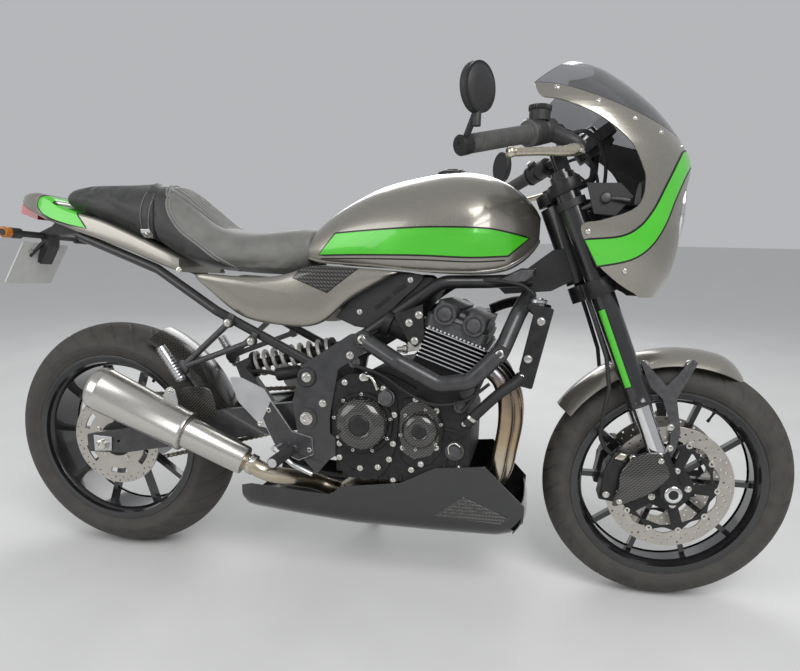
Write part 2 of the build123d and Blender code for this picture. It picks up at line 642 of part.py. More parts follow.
with BuildPart() as pivot_plates:
    outline = [(690, 640), (735, 645), (745, 610), (660, 555), (640, 440), (640, 396), (MOUNT_FACE, 386)]
    outline += [(MOUNT_FACE, 340), (636, 326), (606, 288), (552, 345)]
    outline += [(556, 400), (544, 470), (570, 560)]
    add(plate(outline, PLATE_INNER, PLATE_OUTER, 6))
    mirror(about=Plane.XZ)
    cross_x, cross_z = CROSS_TUBE
    add(rod((cross_x, -PLATE_INNER, cross_z), (cross_x, PLATE_INNER, cross_z), CROSS_RADIUS))
    add(rod((PIVOT[0], -PLATE_OUTER - 4, PIVOT[2]), (PIVOT[0], PLATE_OUTER + 4, PIVOT[2]), PIVOT_RADIUS))
    add(rod((PIVOT[0], -PLATE_OUTER - 4, PIVOT[2]), (PIVOT[0], -PLATE_INNER, PIVOT[2]), 26))
    add(rod((PIVOT[0], PLATE_INNER, PIVOT[2]), (PIVOT[0], PLATE_OUTER + 4, PIVOT[2]), 26))
    stand_pin = Vector(*STAND_AXIS)
    add(rod(STAND_PIVOT, tuple(Vector(*STAND_PIVOT) + stand_pin * 16), STAND_PIN))
    add(rod(tuple(Vector(*STAND_PIVOT) - stand_pin * 20), STAND_PIVOT, STAND_PIN))
    add(rod(tuple(Vector(*STAND_PIVOT) + stand_pin * 12.5), tuple(Vector(*STAND_PIVOT) + stand_pin * 17), 13))
pieces["pivot_plates"] = pivot_plates.part

with BuildPart() as subframe:
    rail_side = PLATE_INNER - RAIL_TUBE - SEAT_FIT
    add(bent_tube([(590, -rail_side, 560), (340, -rail_side, 680), (170, -100, 776), (-60, -70, 853)], RAIL_TUBE, 60))
    mirror(about=Plane.XZ)
pieces["subframe"] = subframe.part

# Engine

HEAD_HALF = 184.0
DECK = 146.0
FIN_COUNT = 8
FIN_LOW = 172.0
FIN_HIGH = 241.0
FIN_THICKNESS = 3.2

with BuildPart() as engine_block:
    deck = [ENGINE.from_local_coords(Vector(along_deck, 0, DECK)) for along_deck in (46, -56)]
    case_side = [(CASE_REAR, 300), (960, 272), (985, 330), (985, 450)] + [(point.X, point.Z) for point in deck]
    case_side += [(745, 560), (CASE_REAR, 500)]
    add(plate(case_side, -CASE_HALF, CASE_HALF, 4))
    chain_room = [(640, 372), (640, 508), (714, 508), (714, 372)]
    add(plate(chain_room, -CASE_HALF, -CHAIN_OFFSET + CHAIN_WIDTH / 2 + 6), mode=Mode.SUBTRACT)
pieces["engine_block"] = engine_block.part

with BuildPart() as cylinders:
    with BuildSketch(ENGINE.offset(DECK + SEAT_FIT)):
        Rectangle(116, 2 * HEAD_HALF - 30)
    extrude(amount=FIN_HIGH - DECK - SEAT_FIT)
    for count in range(FIN_COUNT):
        low = FIN_LOW + count * (FIN_HIGH - FIN_THICKNESS - FIN_LOW) / (FIN_COUNT - 1)
        with BuildSketch(ENGINE.offset(low)):
            with Locations((18, 0)):
                RectangleRounded(148, 2 * HEAD_HALF, 10)
        extrude(amount=FIN_THICKNESS)
pieces["cylinders"] = cylinders.part

with BuildPart() as head_cover:
    with BuildSketch(ENGINE.offset(FIN_HIGH + SEAT_FIT)):
        with Locations((8, 0)):
            RectangleRounded(150, 2 * HEAD_HALF - 10, 16)
    extrude(amount=30)
    with BuildSketch(ENGINE.offset(FIN_HIGH + 30)):
        with Locations((-26, 0), (44, 0)):
            RectangleRounded(56, 2 * HEAD_HALF - 20, 20)
    extrude(amount=36)
    for forward in (-26, 44):
        for side in (-1, 1):
            centre = ENGINE.from_local_coords(Vector(forward, side * (HEAD_HALF - 12), FIN_HIGH + 42))
            out = Vector(0, side, 0)
            add(rod(tuple(centre), tuple(centre + out * 18), 24))
pieces["head_cover"] = head_cover.part

# Round side covers: x, z, radius, depth, side (right is -1)
COVER_FLANGE = 8.0
SIDE_COVERS = [
    (722, 427, 76, 48, -1),
    (866, 420, 56, 36, -1),
    (866, 420, 74, 62, 1),
    (696, 440, 46, 26, 1),
]
with BuildPart() as side_covers:
    for x, z, radius, depth, side in SIDE_COVERS:
        dome = radius - COVER_FLANGE
        profile = [(0, 0), (0, radius), (0.25 * depth, radius), (0.25 * depth, dome), (0.62 * depth, dome - 3)]
        profile += [(0.84 * depth, dome * 0.84), (0.96 * depth, dome * 0.6), (depth, dome * 0.35), (depth, 0)]
        add(spun((x, side * (CASE_HALF + SEAT_FIT), z), (0, side, 0), profile))
pieces["side_covers"] = side_covers.part

AIRBOX_HALF = 103.7
with BuildPart() as airbox:
    airbox_side = [(640, 700), (700, 660), (800, 640), (880, 745), (880, 775), (640, 775)]
    add(plate(airbox_side, -AIRBOX_HALF, AIRBOX_HALF, 10))
pieces["airbox"] = airbox.part

RADIATOR_HALF = 136.0
with BuildPart() as radiator:
    radiator_side = [(1124, 712), (1152, 708), (1120, 536), (1092, 542)]
    add(plate(radiator_side, -RADIATOR_HALF, RADIATOR_HALF))
    panel_side = [(1098.9, 716), (1100.9, 727), (1158, 714), (1122, 530), (1084, 538), (1114, 700)]
    add(plate(panel_side, RADIATOR_HALF - 2, RADIATOR_HALF + 6, 5))
    add(plate(panel_side, -RADIATOR_HALF - 6, -RADIATOR_HALF + 2, 5))
pieces["radiator"] = radiator.part

HEADER_RADIUS = 19.0
MUFFLER_FRONT = (434.0, -200.0, 320.0)
MUFFLER_REAR = (52.0, -226.0, 491.0)
MUFFLER_RUN = (Vector(*MUFFLER_REAR) - Vector(*MUFFLER_FRONT)).normalized()
MUFFLER_LENGTH = (Vector(*MUFFLER_REAR) - Vector(*MUFFLER_FRONT)).length
with BuildPart() as headers:
    for side, under in ((-126, -66), (-46, -24), (46, 24), (126, 66)):
        route = [(1009.1, side, 575.8), (1072, side, 520), (1072, side * 0.9, 380), (1040, under * 1.2, 240)]
        route += [(900, under, 205), (760, under, 205)]
        add(bent_tube(route, HEADER_RADIUS, 42))
    with BuildSketch(Plane.YZ.offset(640)):
        with Locations((-20, 210)):
            RectangleRounded(170, 84, 20)
    extrude(amount=140)
    outlet = Vector(*MUFFLER_FRONT) - MUFFLER_RUN * SEAT_FIT
    before = Vector(*MUFFLER_FRONT) - MUFFLER_RUN * 70
    add(bent_tube([(645, -50, 214), (572, -90, 250), tuple(before), tuple(outlet)], 22, 40))
pieces["headers"] = headers.part

# Megaphone: distance from the front, radius
MUFFLER_STATIONS = [(0, 24), (6, 37), (162, 41), (168, 50), (300, 54), (MUFFLER_LENGTH - 22, 56)]
MUFFLER_STATIONS += [(MUFFLER_LENGTH - 6, 53), (MUFFLER_LENGTH, 44)]
MUFFLER_BAND = (163.0, 52.0, 7.0)
with BuildPart() as muffler:
    axis_plane = Plane(origin=MUFFLER_FRONT, z_dir=MUFFLER_RUN)
    for distance, radius in MUFFLER_STATIONS:
        with BuildSketch(axis_plane.offset(distance)):
            Circle(radius)
    loft(ruled=True)
    band_start, band_radius, band_width = MUFFLER_BAND
    with BuildSketch(axis_plane.offset(band_start)):
        Circle(band_radius)
    extrude(amount=band_width)
    with BuildSketch(axis_plane.offset(MUFFLER_LENGTH)):
        Circle(30)
    extrude(amount=-60, mode=Mode.SUBTRACT)
pieces["muffler"] = muffler.part

# Belly pan: open tray under the engine
PAN_SIDE = [(400, 240), (427, 248), (641, 236), (667, 260), (820, 282), (905, 327), (1026, 339), (1125, 242)]
PAN_SIDE += [(1131, 192), (1100, 156), (700, 152), (411, 178)]
PAN_HALF = 160.0
PAN_WALL = 4.0
with BuildPart() as belly_pan:
    add(plate(PAN_SIDE, -PAN_HALF, PAN_HALF, 6))
    pan_hollow = [(390, 400), (390, 190), (411, 184), (700, 158), (1100, 162), (1126, 194), (1119, 240), (1119, 400)]
    add(plate(pan_hollow, -PAN_HALF + PAN_WALL, PAN_HALF - PAN_WALL), mode=Mode.SUBTRACT)
    add(rod((930, -PAN_HALF + 2, 305), (930, -CASE_HALF - SEAT_FIT, 305), 8))
    add(rod((930, PAN_HALF - 2, 305), (930, CASE_HALF + SEAT_FIT, 305), 8))
pieces["belly_pan"] = belly_pan.part

# Tank, seat, tail and side panels
# Cross sections: x, low, high, half low, half high, corner low, corner high
TANK_SECTIONS = [
    (560, 806, 868, 84, 66, 8, 26),
    (640, 800, 936, 104, 88, 12, 62),
    (760, 794, 990, 132, 118, 14, 92),
    (900, 790, 1017, 152, 140, 14, 108),
    (1010, 796, 1006, 146, 126, 16, 98),
    (1074, 824, 965, 95, 72, 20, 56),
    (1114.6, 862, 925, 46, 36, 16, 22),
]
with BuildPart() as fuel_tank:
    add(body_of(TANK_SECTIONS, ruled=False))
    with BuildSketch(Plane.XY.offset(1000)):
        with Locations((900, 0)):
            Circle(34)
    extrude(amount=26)
pieces["fuel_tank"] = fuel_tank.part

PAD_SECTIONS = [
    (-108, 926, 950, 62, 54, 6, 10),
    (-80, 918, 972, 80, 70, 8, 22),
    (20, 893, 974, 98, 84, 8, 30),
    (100, 864, 977, 110, 94, 8, 32),
    (164, 838, 982, 118, 98, 8, 34),
]
SEAT_SECTIONS = [
    (165, 838, 982, 118, 98, 8, 34),
    (196, 826, 980, 122, 100, 8, 36),
    (232, 808, 952, 126, 104, 8, 36),
    (280, 788, 912, 132, 112, 8, 34),
    (330, 780, 880, 136, 116, 8, 32),
    (380, 776, 868, 136, 118, 8, 32),
    (450, 770, 866, 122, 106, 8, 32),
    (520, 772, 875, 96, 84, 8, 28),
]
pieces["rear_pad"] = body_of(PAD_SECTIONS)
pieces["rider_seat"] = body_of(SEAT_SECTIONS)

COWL_FIT = 0.4
COWL_SECTIONS = [
    (-250, 938, 952, 30, 26, 3, 5),
    (-220, 920, 957, 62, 54, 6, 10),
    (-170, 900, 957, 84, 74, 8, 14),
    (-112, 880, 926 - COWL_FIT, 94, 88, 8, 6),
    (-80, 872, 918 - COWL_FIT, 98, 94, 8, 6),
    (20, 842, 893 - COWL_FIT, 106, 104, 8, 6),
    (100, 818, 864 - COWL_FIT, 114, 114, 8, 6),
    (164, 795, 838 - COWL_FIT, 120, 120, 8, 6),
    (196, 784, 826 - COWL_FIT, 122, 122, 8, 6),
    (232, 772, 808 - COWL_FIT, 124, 124, 8, 6),
]
pieces["tail_cowl"] = body_of(COWL_SECTIONS)

PANEL_INNER = 122.0
PANEL_OUTER = 142.0
with BuildPart() as side_panels:
    panel = [(290, 766), (330, 724), (393, 675), (483, 653), (585, 650), (623, 670), (672, 715), (732, 752)]
    panel += [(778, 776), (778, 786), (598, 790), (500, 764), (410, 762)]
    add(plate(panel, PANEL_INNER, PANEL_OUTER, 4))
    add(rod((700, -PANEL_INNER - 2, 762), (700, -AIRBOX_HALF - SEAT_FIT, 762), 8))
    mirror(about=Plane.XZ)
pieces["side_panels"] = side_panels.part

# Swingarm with the rear axle

ARM_RIGHT = (102.0, 132.0)
ARM_LEFT = (112.0, 142.0)
REAR_SPACER = 17.0
BOBBIN_HOLE = (44.0, 327.0)
BOBBIN_RADIUS = 4.0
BOBBIN_DEPTH = 18.0
SHOCK_EYE = (362.0, -20.0, 532.0)
SHOCK_BODY = 20.0
SHOCK_TOP = Vector(CROSS_TUBE[0], SHOCK_EYE[1], CROSS_TUBE[1])
SHOCK_DIR = (SHOCK_TOP - Vector(*SHOCK_EYE)).normalized()
SHOCK_SEAT = Vector(*SHOCK_EYE) + SHOCK_DIR * 18
MAST_HALF = 14.0
with BuildPart() as swingarm:
    arm_side = [(-48, 292), (-48, 340), (60, 362), (330, 428), (560, 466), (612, 460), (612, 402), (560, 394)]
    arm_side += [(340, 352), (60, 296)]
    add(plate(arm_side, ARM_RIGHT[0], ARM_RIGHT[1], 6))
    add(plate(arm_side, -ARM_LEFT[1], -ARM_LEFT[0], 6))
    brace = [(372, 366), (372, 432), (450, 440), (450, 384)]
    add(plate(brace, -ARM_LEFT[0] - 2, ARM_RIGHT[0] + 2, 6))
    face_up = Vector(-SHOCK_DIR.Z, 0, SHOCK_DIR.X) * SHOCK_BODY
    mast_face = SHOCK_SEAT - SHOCK_DIR * SEAT_FIT
    mast = [(mast_face.X, mast_face.Z), (mast_face.X + face_up.X, mast_face.Z + face_up.Z)]
    mast += [(SHOCK_EYE[0] - 22, SHOCK_EYE[2] + 6), (384, 424), (446, 432)]
    mast += [(mast_face.X - face_up.X, mast_face.Z - face_up.Z)]
    add(plate(mast, -SHOCK_EYE[1] - MAST_HALF, -SHOCK_EYE[1] + MAST_HALF))
    add(rod((0, -ARM_RIGHT[1] - 6, REAR_RADIUS), (0, ARM_LEFT[1] + 6, REAR_RADIUS), AXLE_RADIUS))
    hub_end = REAR_HUB_HALF + SEAT_FIT
    for start, stop in ((-ARM_RIGHT[0], -hub_end), (hub_end, ARM_LEFT[0])):
        add(rod((0, start, REAR_RADIUS), (0, stop, REAR_RADIUS), REAR_SPACER))
    for start, stop in ((-PLATE_INNER + SEAT_FIT, -ARM_RIGHT[0]), (ARM_LEFT[0], PLATE_INNER - SEAT_FIT)):
        add(rod((PIVOT[0], start, PIVOT[2]), (PIVOT[0], stop, PIVOT[2]), 27))
    bore = rod((PIVOT[0], -PLATE_INNER, PIVOT[2]), (PIVOT[0], PLATE_INNER, PIVOT[2]), PIVOT_RADIUS + SEAT_FIT)
    add(bore, mode=Mode.SUBTRACT)
    hole_x, hole_z = BOBBIN_HOLE
    for outer, inner in ((-ARM_RIGHT[1], BOBBIN_DEPTH - ARM_RIGHT[1]), (ARM_LEFT[1], ARM_LEFT[1] - BOBBIN_DEPTH)):
        add(rod((hole_x, outer, hole_z), (hole_x, inner, hole_z), BOBBIN_RADIUS), mode=Mode.SUBTRACT)
pieces["swingarm"] = swingarm.part

SHOCK_COIL = 35.0
SHOCK_COILS = 7
with BuildPart() as shock:
    shock_length = (SHOCK_TOP - SHOCK_SEAT).length - CROSS_RADIUS - SEAT_FIT
    profile = [(0, 0), (0, SHOCK_BODY)]
    for count in range(SHOCK_COILS):
        place = shock_length * (0.12 + 0.105 * count)
        profile += [(place - 7, SHOCK_BODY), (place - 4, SHOCK_COIL), (place + 4, SHOCK_COIL), (place + 7, SHOCK_BODY)]
    profile += [(shock_length, SHOCK_BODY), (shock_length, 0)]
    add(spun(tuple(SHOCK_SEAT), tuple(SHOCK_DIR), profile))
pieces["shock"] = shock.part

with BuildPart() as rear_caliper:
    caliper_plane = Plane.XZ.offset(REAR_DISC_OFFSET - 22)
    with BuildSketch(caliper_plane):
        with Locations(Location((104, REAR_RADIUS + 80), 40)):
            RectangleRounded(84, 46, 10)
    extrude(amount=46)
    holder = [(-24, -26), (-24, 24), (70, 108), (124, 94), (124, 64), (24, -26)]
    add(plate(around(REAR_AXLE, holder), REAR_DISC_OFFSET + 23, ARM_RIGHT[0] - SEAT_FIT, 8))
    add(rod((0, -ARM_RIGHT[0], REAR_RADIUS), (0, -60, REAR_RADIUS), REAR_SPACER + SEAT_FIT), mode=Mode.SUBTRACT)
    slot = REAR_DISC_OFFSET - DISC_THICKNESS / 2 - CALIPER_SLOT
    with BuildSketch(REAR_WHEEL.offset(slot)):
        Circle(REAR_DISC_RADIUS + CALIPER_SLOT)
    extrude(amount=DISC_THICKNESS + 2 * CALIPER_SLOT, mode=Mode.SUBTRACT)
pieces["rear_caliper"] = rear_caliper.part

# Foot controls and hangers

CONTROL_INNER = PLATE_OUTER + SEAT_FIT
CONTROL_OUTER = CONTROL_INNER + 6.0
with BuildPart() as heel_plates:
    heel = [(383, 522), (412, 522), (475, 497), (492, 470), (545, 396), (596, 384), (600, 340), (560, 322)]
    heel += [(505, 345), (478, 400), (466, 402), (405, 462)]
    add(plate(heel, CONTROL_INNER, CONTROL_OUTER, 5))
    add(rod((545, -CONTROL_OUTER, 350), (538, -286, 344), 11))
    add(rod((513, -CONTROL_INNER, 358), (513, -208, 358), 8))
    add(bent_tube([(513, -205, 358), (560, -208, 322), (612, -212, 303)], 6, 30))
    mirror(about=Plane.XZ)
pieces["heel_plates"] = heel_plates.part

HANGER_INNER = PLATE_INNER
HANGER_THICKNESS = 8.0
HANGER_FOOT = Vector(249, 537)
HANGER_BOLTS = [Vector(379, 653), Vector(438, 611)]
HANGER_TAB = Vector(10, 21)
HANGER_BAR = 14.0
with BuildPart() as passenger_hangers:
    with BuildSketch(Plane.XZ.offset(HANGER_INNER)):
        for spot in HANGER_BOLTS:
            for near, far in ((HANGER_FOOT, spot), (spot, spot + HANGER_TAB)):
                run = far - near
                with Locations(Location((near + far) / 2, degrees(atan2(run.Y, run.X)))):
                    Rectangle(run.length, HANGER_BAR)
            with Locations(spot):
                Circle(0.75 * HANGER_BAR)
        with Locations(HANGER_FOOT):
            Circle(1.2 * HANGER_BAR)
    extrude(amount=HANGER_THICKNESS)
    foot_x, foot_z = HANGER_FOOT.X, HANGER_FOOT.Y
    add(rod((foot_x, -HANGER_INNER, foot_z - 12), (foot_x, -176, foot_z - 12), 11))
    add(rod((foot_x + 5, -166, foot_z - 25), (foot_x - 43, -172, foot_z + 50), 12))
    mirror(about=Plane.XZ)
pieces["passenger_hangers"] = passenger_hangers.part

HUGGER_RADIUS = REAR_RADIUS + 20
HUGGER_HALF = 92.0
HUGGER_LIP = REAR_RADIUS - 16
HUGGER_WALL = 3.0
HUGGER_PEG = radians(15.9)
with BuildPart() as rear_hugger:
    hugger_dir = Vector(cos(radians(14)), 0, sin(radians(14)))
    with BuildSketch(Plane(origin=REAR_AXLE, x_dir=(0, 1, 0), z_dir=hugger_dir.cross(Vector(0, 1, 0)) * -1)):
        with BuildLine():
            ThreePointArc((-HUGGER_HALF, HUGGER_LIP), (0, HUGGER_RADIUS), (HUGGER_HALF, HUGGER_LIP))
            Line((HUGGER_HALF, HUGGER_LIP), (HUGGER_HALF - HUGGER_WALL, HUGGER_LIP))
            ThreePointArc(
                (HUGGER_HALF - HUGGER_WALL, HUGGER_LIP),
                (0, HUGGER_RADIUS - HUGGER_WALL),
                (HUGGER_WALL - HUGGER_HALF, HUGGER_LIP),
            )
            Line((HUGGER_WALL - HUGGER_HALF, HUGGER_LIP), (-HUGGER_HALF, HUGGER_LIP))
        make_face()
    revolve(axis=Axis(REAR_AXLE, (0, -1, 0)), revolution_arc=52)
    peg_x, peg_z = HUGGER_LIP * cos(HUGGER_PEG), REAR_RADIUS + HUGGER_LIP * sin(HUGGER_PEG)
    for start, stop in ((SEAT_FIT - ARM_RIGHT[0], 2 - HUGGER_HALF), (ARM_LEFT[0] - SEAT_FIT, HUGGER_HALF - 2)):
        add(rod((peg_x, start, peg_z), (peg_x, stop, peg_z), 7))
pieces["rear_hugger"] = rear_hugger.part

# Tail lamp, licence plate holder with indicators, and plate

with BuildPart() as tail_lamp:
    lamp_side = [(-240, 931.6), (-220, 919.6), (-196, 910), (-200, 894), (-246, 908)]
    add(plate(lamp_side, -46, 46))
pieces["tail_lamp"] = tail_lamp.part

PLATE_TOP = (-215.2, 0.0, 834.5)
PLATE_LOW = (-284.2, 0.0, 727.5)
PLATE_NORMAL = (-0.84, 0.0, 0.54)
INDICATOR_BAR = (-205.0, 854.0)
with BuildPart() as plate_holder:
    holder = [(-160, 896), (-100, 876), (-100, 862), (-188, 856), (-193, 826), (-222, 780), (-232, 786)]
    holder += [(-212, 838), (-218, 862), (-176, 880)]
    add(plate(holder, -22, 22))
    bar_x, bar_z = INDICATOR_BAR
    add(rod((bar_x, -172, bar_z), (bar_x, 172, bar_z), 8))
    for side in (-1, 1):
        add(rod((bar_x, side * 112, bar_z), (bar_x, side * 168, bar_z), 13))
pieces["plate_holder"] = plate_holder.part

with BuildPart() as licence_plate:
    middle = along(PLATE_TOP, PLATE_LOW, 0.5)
    with BuildSketch(Plane(origin=middle, x_dir=(0, 1, 0), z_dir=PLATE_NORMAL).offset(-1.5)):
        RectangleRounded(180, 127, 6)
    extrude(amount=3)
pieces["licence_plate"] = licence_plate.part

# Side stand on the left, deployed

with BuildPart() as side_stand:
    stand_pin = Vector(*STAND_AXIS)
    inner_face = Vector(*STAND_PIVOT) - stand_pin * 9
    outer_face = Vector(*STAND_PIVOT) + stand_pin * 12
    add(rod(STAND_PIVOT, STAND_FOOT, 11))
    add(rod(tuple(inner_face), tuple(outer_face), 18))
    bore_start = inner_face - stand_pin * 10
    bore_end = outer_face + stand_pin * 10
    add(rod(tuple(bore_start), tuple(bore_end), STAND_PIN + AXLE_PLAY), mode=Mode.SUBTRACT)
    ground_up = Vector(0, -sin(radians(LEAN)), cos(radians(LEAN)))
    foot_x, foot_y = STAND_FOOT[0], STAND_FOOT[1] + 6
    foot_plane = Plane(origin=(foot_x, foot_y, foot_y * tan(radians(LEAN))), x_dir=(1, 0, 0), z_dir=ground_up)
    with BuildSketch(foot_plane):
        RectangleRounded(70, 44, 16)
    extrude(amount=10)
pieces["side_stand"] = side_stand.part

# Lean on the side stand, stand on the ground and centre over the origin

crown_drop = REAR_CROWN_RADIUS * (1 - cos(radians(LEAN)))
leaned = {name: piece.rotate(Axis.X, -LEAN) for name, piece in pieces.items()}
boxes = [piece.bounding_box() for piece in leaned.values()]
middle_x = (min(box.min.X for box in boxes) + max(box.max.X for box in boxes)) / 2
middle_y = (min(box.min.Y for box in boxes) + max(box.max.Y for box in boxes)) / 2
stance = Location((-middle_x, -middle_y, crown_drop))

os.makedirs("parts", exist_ok=True)
for name, piece in leaned.items():
    placed = piece.moved(stance)
    placed.label = name
    export_step(placed, f"parts/{name}.step")
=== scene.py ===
import json
import math

import bmesh
import bpy
from mathutils import Matrix, Vector, geometry
from mathutils.bvhtree import BVHTree
from mathutils.kdtree import KDTree


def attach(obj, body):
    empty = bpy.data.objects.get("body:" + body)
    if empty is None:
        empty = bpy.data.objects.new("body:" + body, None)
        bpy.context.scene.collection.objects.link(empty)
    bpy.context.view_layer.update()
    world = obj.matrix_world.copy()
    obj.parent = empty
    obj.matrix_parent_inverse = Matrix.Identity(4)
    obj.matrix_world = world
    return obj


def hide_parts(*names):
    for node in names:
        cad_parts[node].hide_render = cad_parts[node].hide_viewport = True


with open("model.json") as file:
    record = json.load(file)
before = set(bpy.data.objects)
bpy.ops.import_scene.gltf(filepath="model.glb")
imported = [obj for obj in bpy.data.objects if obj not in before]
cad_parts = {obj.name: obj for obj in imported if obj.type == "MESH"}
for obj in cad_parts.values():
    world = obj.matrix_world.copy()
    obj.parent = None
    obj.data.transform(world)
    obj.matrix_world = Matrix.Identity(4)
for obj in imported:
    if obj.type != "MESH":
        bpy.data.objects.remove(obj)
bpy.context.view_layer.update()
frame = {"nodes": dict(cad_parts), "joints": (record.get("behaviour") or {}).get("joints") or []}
NODES = frame["nodes"]
SIDES = (-1, 1)

# The machine is drawn upright in millimetres from the ground below its rear axle, then leaned into the row frame
MM = 0.001
UP = Vector((0, 0, 1))
AHEAD = Vector((1, 0, 0))
LEFT = Vector((0, 1, 0))
FRONT_AXLE = Vector((1465, 0, 300))
REAR_AXLE = Vector((0, 0, 316))
JOINTS = {joint["name"]: joint for joint in frame["joints"]}
LEAN = Matrix.Rotation(-math.radians(5.5), 4, "X")
ORIGIN = Vector(JOINTS["rear_wheel_spin"]["pos_m"]) - LEAN @ (REAR_AXLE * MM)
BIKE = Matrix.Translation(ORIGIN) @ LEAN @ Matrix.Scale(MM, 4)
BIKE_BACK = BIKE.inverted()
RAKE = math.radians(24)
STEER_UP = Vector((-math.sin(RAKE), 0, math.cos(RAKE)))
STEER_AHEAD = Vector((math.cos(RAKE), 0, math.sin(RAKE)))
AXLE_OFFSET = 32.5
STEER_FOOT = FRONT_AXLE - STEER_AHEAD * AXLE_OFFSET
ENGINE_TILT = math.radians(19)
ENGINE_UP = Vector((math.sin(ENGINE_TILT), 0, math.cos(ENGINE_TILT)))
ENGINE_AHEAD = Vector((math.cos(ENGINE_TILT), 0, -math.sin(ENGINE_TILT)))
CRANK = Vector((850, 0, 420))


def on_fork(ahead, side, height):
    return STEER_FOOT + STEER_AHEAD * ahead + Vector((0, side, 0)) + STEER_UP * height


def on_engine(ahead, side, height):
    return CRANK + ENGINE_AHEAD * ahead + Vector((0, side, 0)) + ENGINE_UP * height


def placed(name, data):
    """Object of some data, linked into the scene."""
    obj = bpy.data.objects.new(name, data)
    bpy.context.scene.collection.objects.link(obj)
    return obj


# Camera

CAMERA_AT = Vector((ORIGIN.x + 1.11463, ORIGIN.y - 1.65447, 0.93236))
CAMERA_YAW, CAMERA_PITCH, CAMERA_ROLL = -0.1807, -0.3478, 0.0129
level = Vector((math.sin(CAMERA_YAW), math.cos(CAMERA_YAW), 0)) * math.cos(CAMERA_PITCH)
view = level + Vector((0, 0, math.sin(CAMERA_PITCH)))
across = Vector((math.cos(CAMERA_YAW), -math.sin(CAMERA_YAW), 0))
above = across.cross(view)
rolled = across * math.cos(CAMERA_ROLL) + above * math.sin(CAMERA_ROLL)
upward = above * math.cos(CAMERA_ROLL) - across * math.sin(CAMERA_ROLL)
camera = placed("camera", bpy.data.cameras.new("camera"))
camera.matrix_world = Matrix.Translation(CAMERA_AT) @ Matrix((rolled, upward, -view)).transposed().to_4x4()
camera.data.sensor_width = 36
camera.data.lens = 30.56
camera.data.shift_x = -0.0088
camera.data.shift_y = 0.1498
camera.data.clip_end = 100
bpy.context.scene.camera = camera
bpy.context.scene.view_settings.view_transform = "Standard"


# Materials


def node(mat, kind, inputs=(), **settings):
    made = mat.node_tree.nodes.new("ShaderNode" + kind)
    for key, value in settings.items():
        setattr(made, key, value)
    for key, value in dict(inputs).items():
        if isinstance(value, bpy.types.NodeSocket):
            mat.node_tree.links.new(value, made.inputs[key])
        else:
            made.inputs[key].default_value = value
    return made


def material(name, colour, rough, metal=0.0, **sockets):
    mat = bpy.data.materials.new(name)
    mat.use_nodes = True
    shader = mat.node_tree.nodes["Principled BSDF"]
    shader.inputs["Base Color"].default_value = (*colour, 1)
    shader.inputs["Roughness"].default_value = rough
    shader.inputs["Metallic"].default_value = metal
    for key, value in sockets.items():
        shader.inputs[key.replace("_", " ").title().replace("Ior", "IOR")].default_value = value
    return mat


def to_shader(mat, socket, value):
    mat.node_tree.links.new(value, mat.node_tree.nodes["Principled BSDF"].inputs[socket])


def place(mat, stretch=(1, 1, 1)):
    coords = node(mat, "TexCoord").outputs["Object"]
    return node(mat, "Mapping", {"Vector": coords, "Scale": stretch}).outputs[0]


def noise(mat, scale, detail=3.0, stretch=(1, 1, 1)):
    return node(mat, "TexNoise", {"Vector": place(mat, stretch), "Scale": scale, "Detail": detail}).outputs["Fac"]


def ramp(mat, value, *stops):
    made = node(mat, "ValToRGB", {"Fac": value})
    band = made.color_ramp
    while len(band.elements) < len(stops):
        band.elements.new(0.5)
    for element, (at, colour) in zip(band.elements, stops):
        element.position = at
        element.color = (*colour, 1)
    return made.outputs["Color"]


def spread(mat, value, low, high):
    span = {"Value": value, "From Min": 0.3, "From Max": 0.7, "To Min": low, "To Max": high}
    return node(mat, "MapRange", span).outputs[0]


def bump(mat, height, strength, distance):
    made = node(mat, "Bump", {"Height": height, "Strength": strength, "Distance": distance})
    to_shader(mat, "Normal", made.outputs[0])


def scaled(colour, share):
    return tuple(min(c * share, 1) for c in colour)


def mottle(mat, mask, colour, shades, roughness, start=0.3):
    """Lets colour and roughness follow a mask between two shades and two values."""
    to_shader(mat, "Base Color", ramp(mat, mask, *((at, scaled(colour, s)) for at, s in zip((start, 0.7), shades))))
    to_shader(mat, "Roughness", spread(mat, mask, *roughness))


def surface(name, colour, rough, metal=0.0, vary=0.15, scale=60.0, relief=0.0, fine=900.0, **sockets):
    """Plain finish with a little colour and gloss variation, and fine relief."""
    mat = material(name, colour, rough, metal, **sockets)
    mottle(mat, noise(mat, scale, 4.0), colour, (1 - vary, 1 + vary), (rough * 0.85, min(rough * 1.2, 1)))
    if relief:
        bump(mat, noise(mat, fine, 2.0), relief, 0.0006)
    return mat


GREY = (0.29, 0.274, 0.236)
GREEN = (0.07, 0.55, 0.02)
paint_grey = material("metallic_grey_paint", GREY, 0.3, 0.75, coat_weight=1.0, coat_roughness=0.04)
mottle(paint_grey, noise(paint_grey, 1600.0, 2.0), GREY, (0.82, 1.3), (0.24, 0.36), 0.35)
paint_green = surface("green_stripe", GREEN, 0.3, 0.1, 0.06, 12.0, coat_weight=0.8, coat_roughness=0.05)
paint_black = surface(
    "black_gloss_paint", (0.012, 0.012, 0.013), 0.22, 0.0, 0.2, 40.0, coat_weight=0.7, coat_roughness=0.06
)
line_black = surface("black_line", (0.008, 0.008, 0.008), 0.35, 0.0, 0.2, 40.0)
satin_black = surface("satin_black_metal", (0.022, 0.022, 0.023), 0.42, 0.4, 0.25, 50.0, 0.15)
frame_black = surface("frame_black_paint", (0.018, 0.018, 0.019), 0.36, 0.1, 0.25, 30.0, 0.08, coat_weight=0.3)
graphite = surface("graphite_paint", (0.06, 0.06, 0.062), 0.38, 0.6, 0.18, 40.0, 0.1, coat_weight=0.4)
cast_black = surface("cast_black_alloy", (0.02, 0.02, 0.021), 0.5, 0.5, 0.3, 90.0, 0.5, 1400.0)
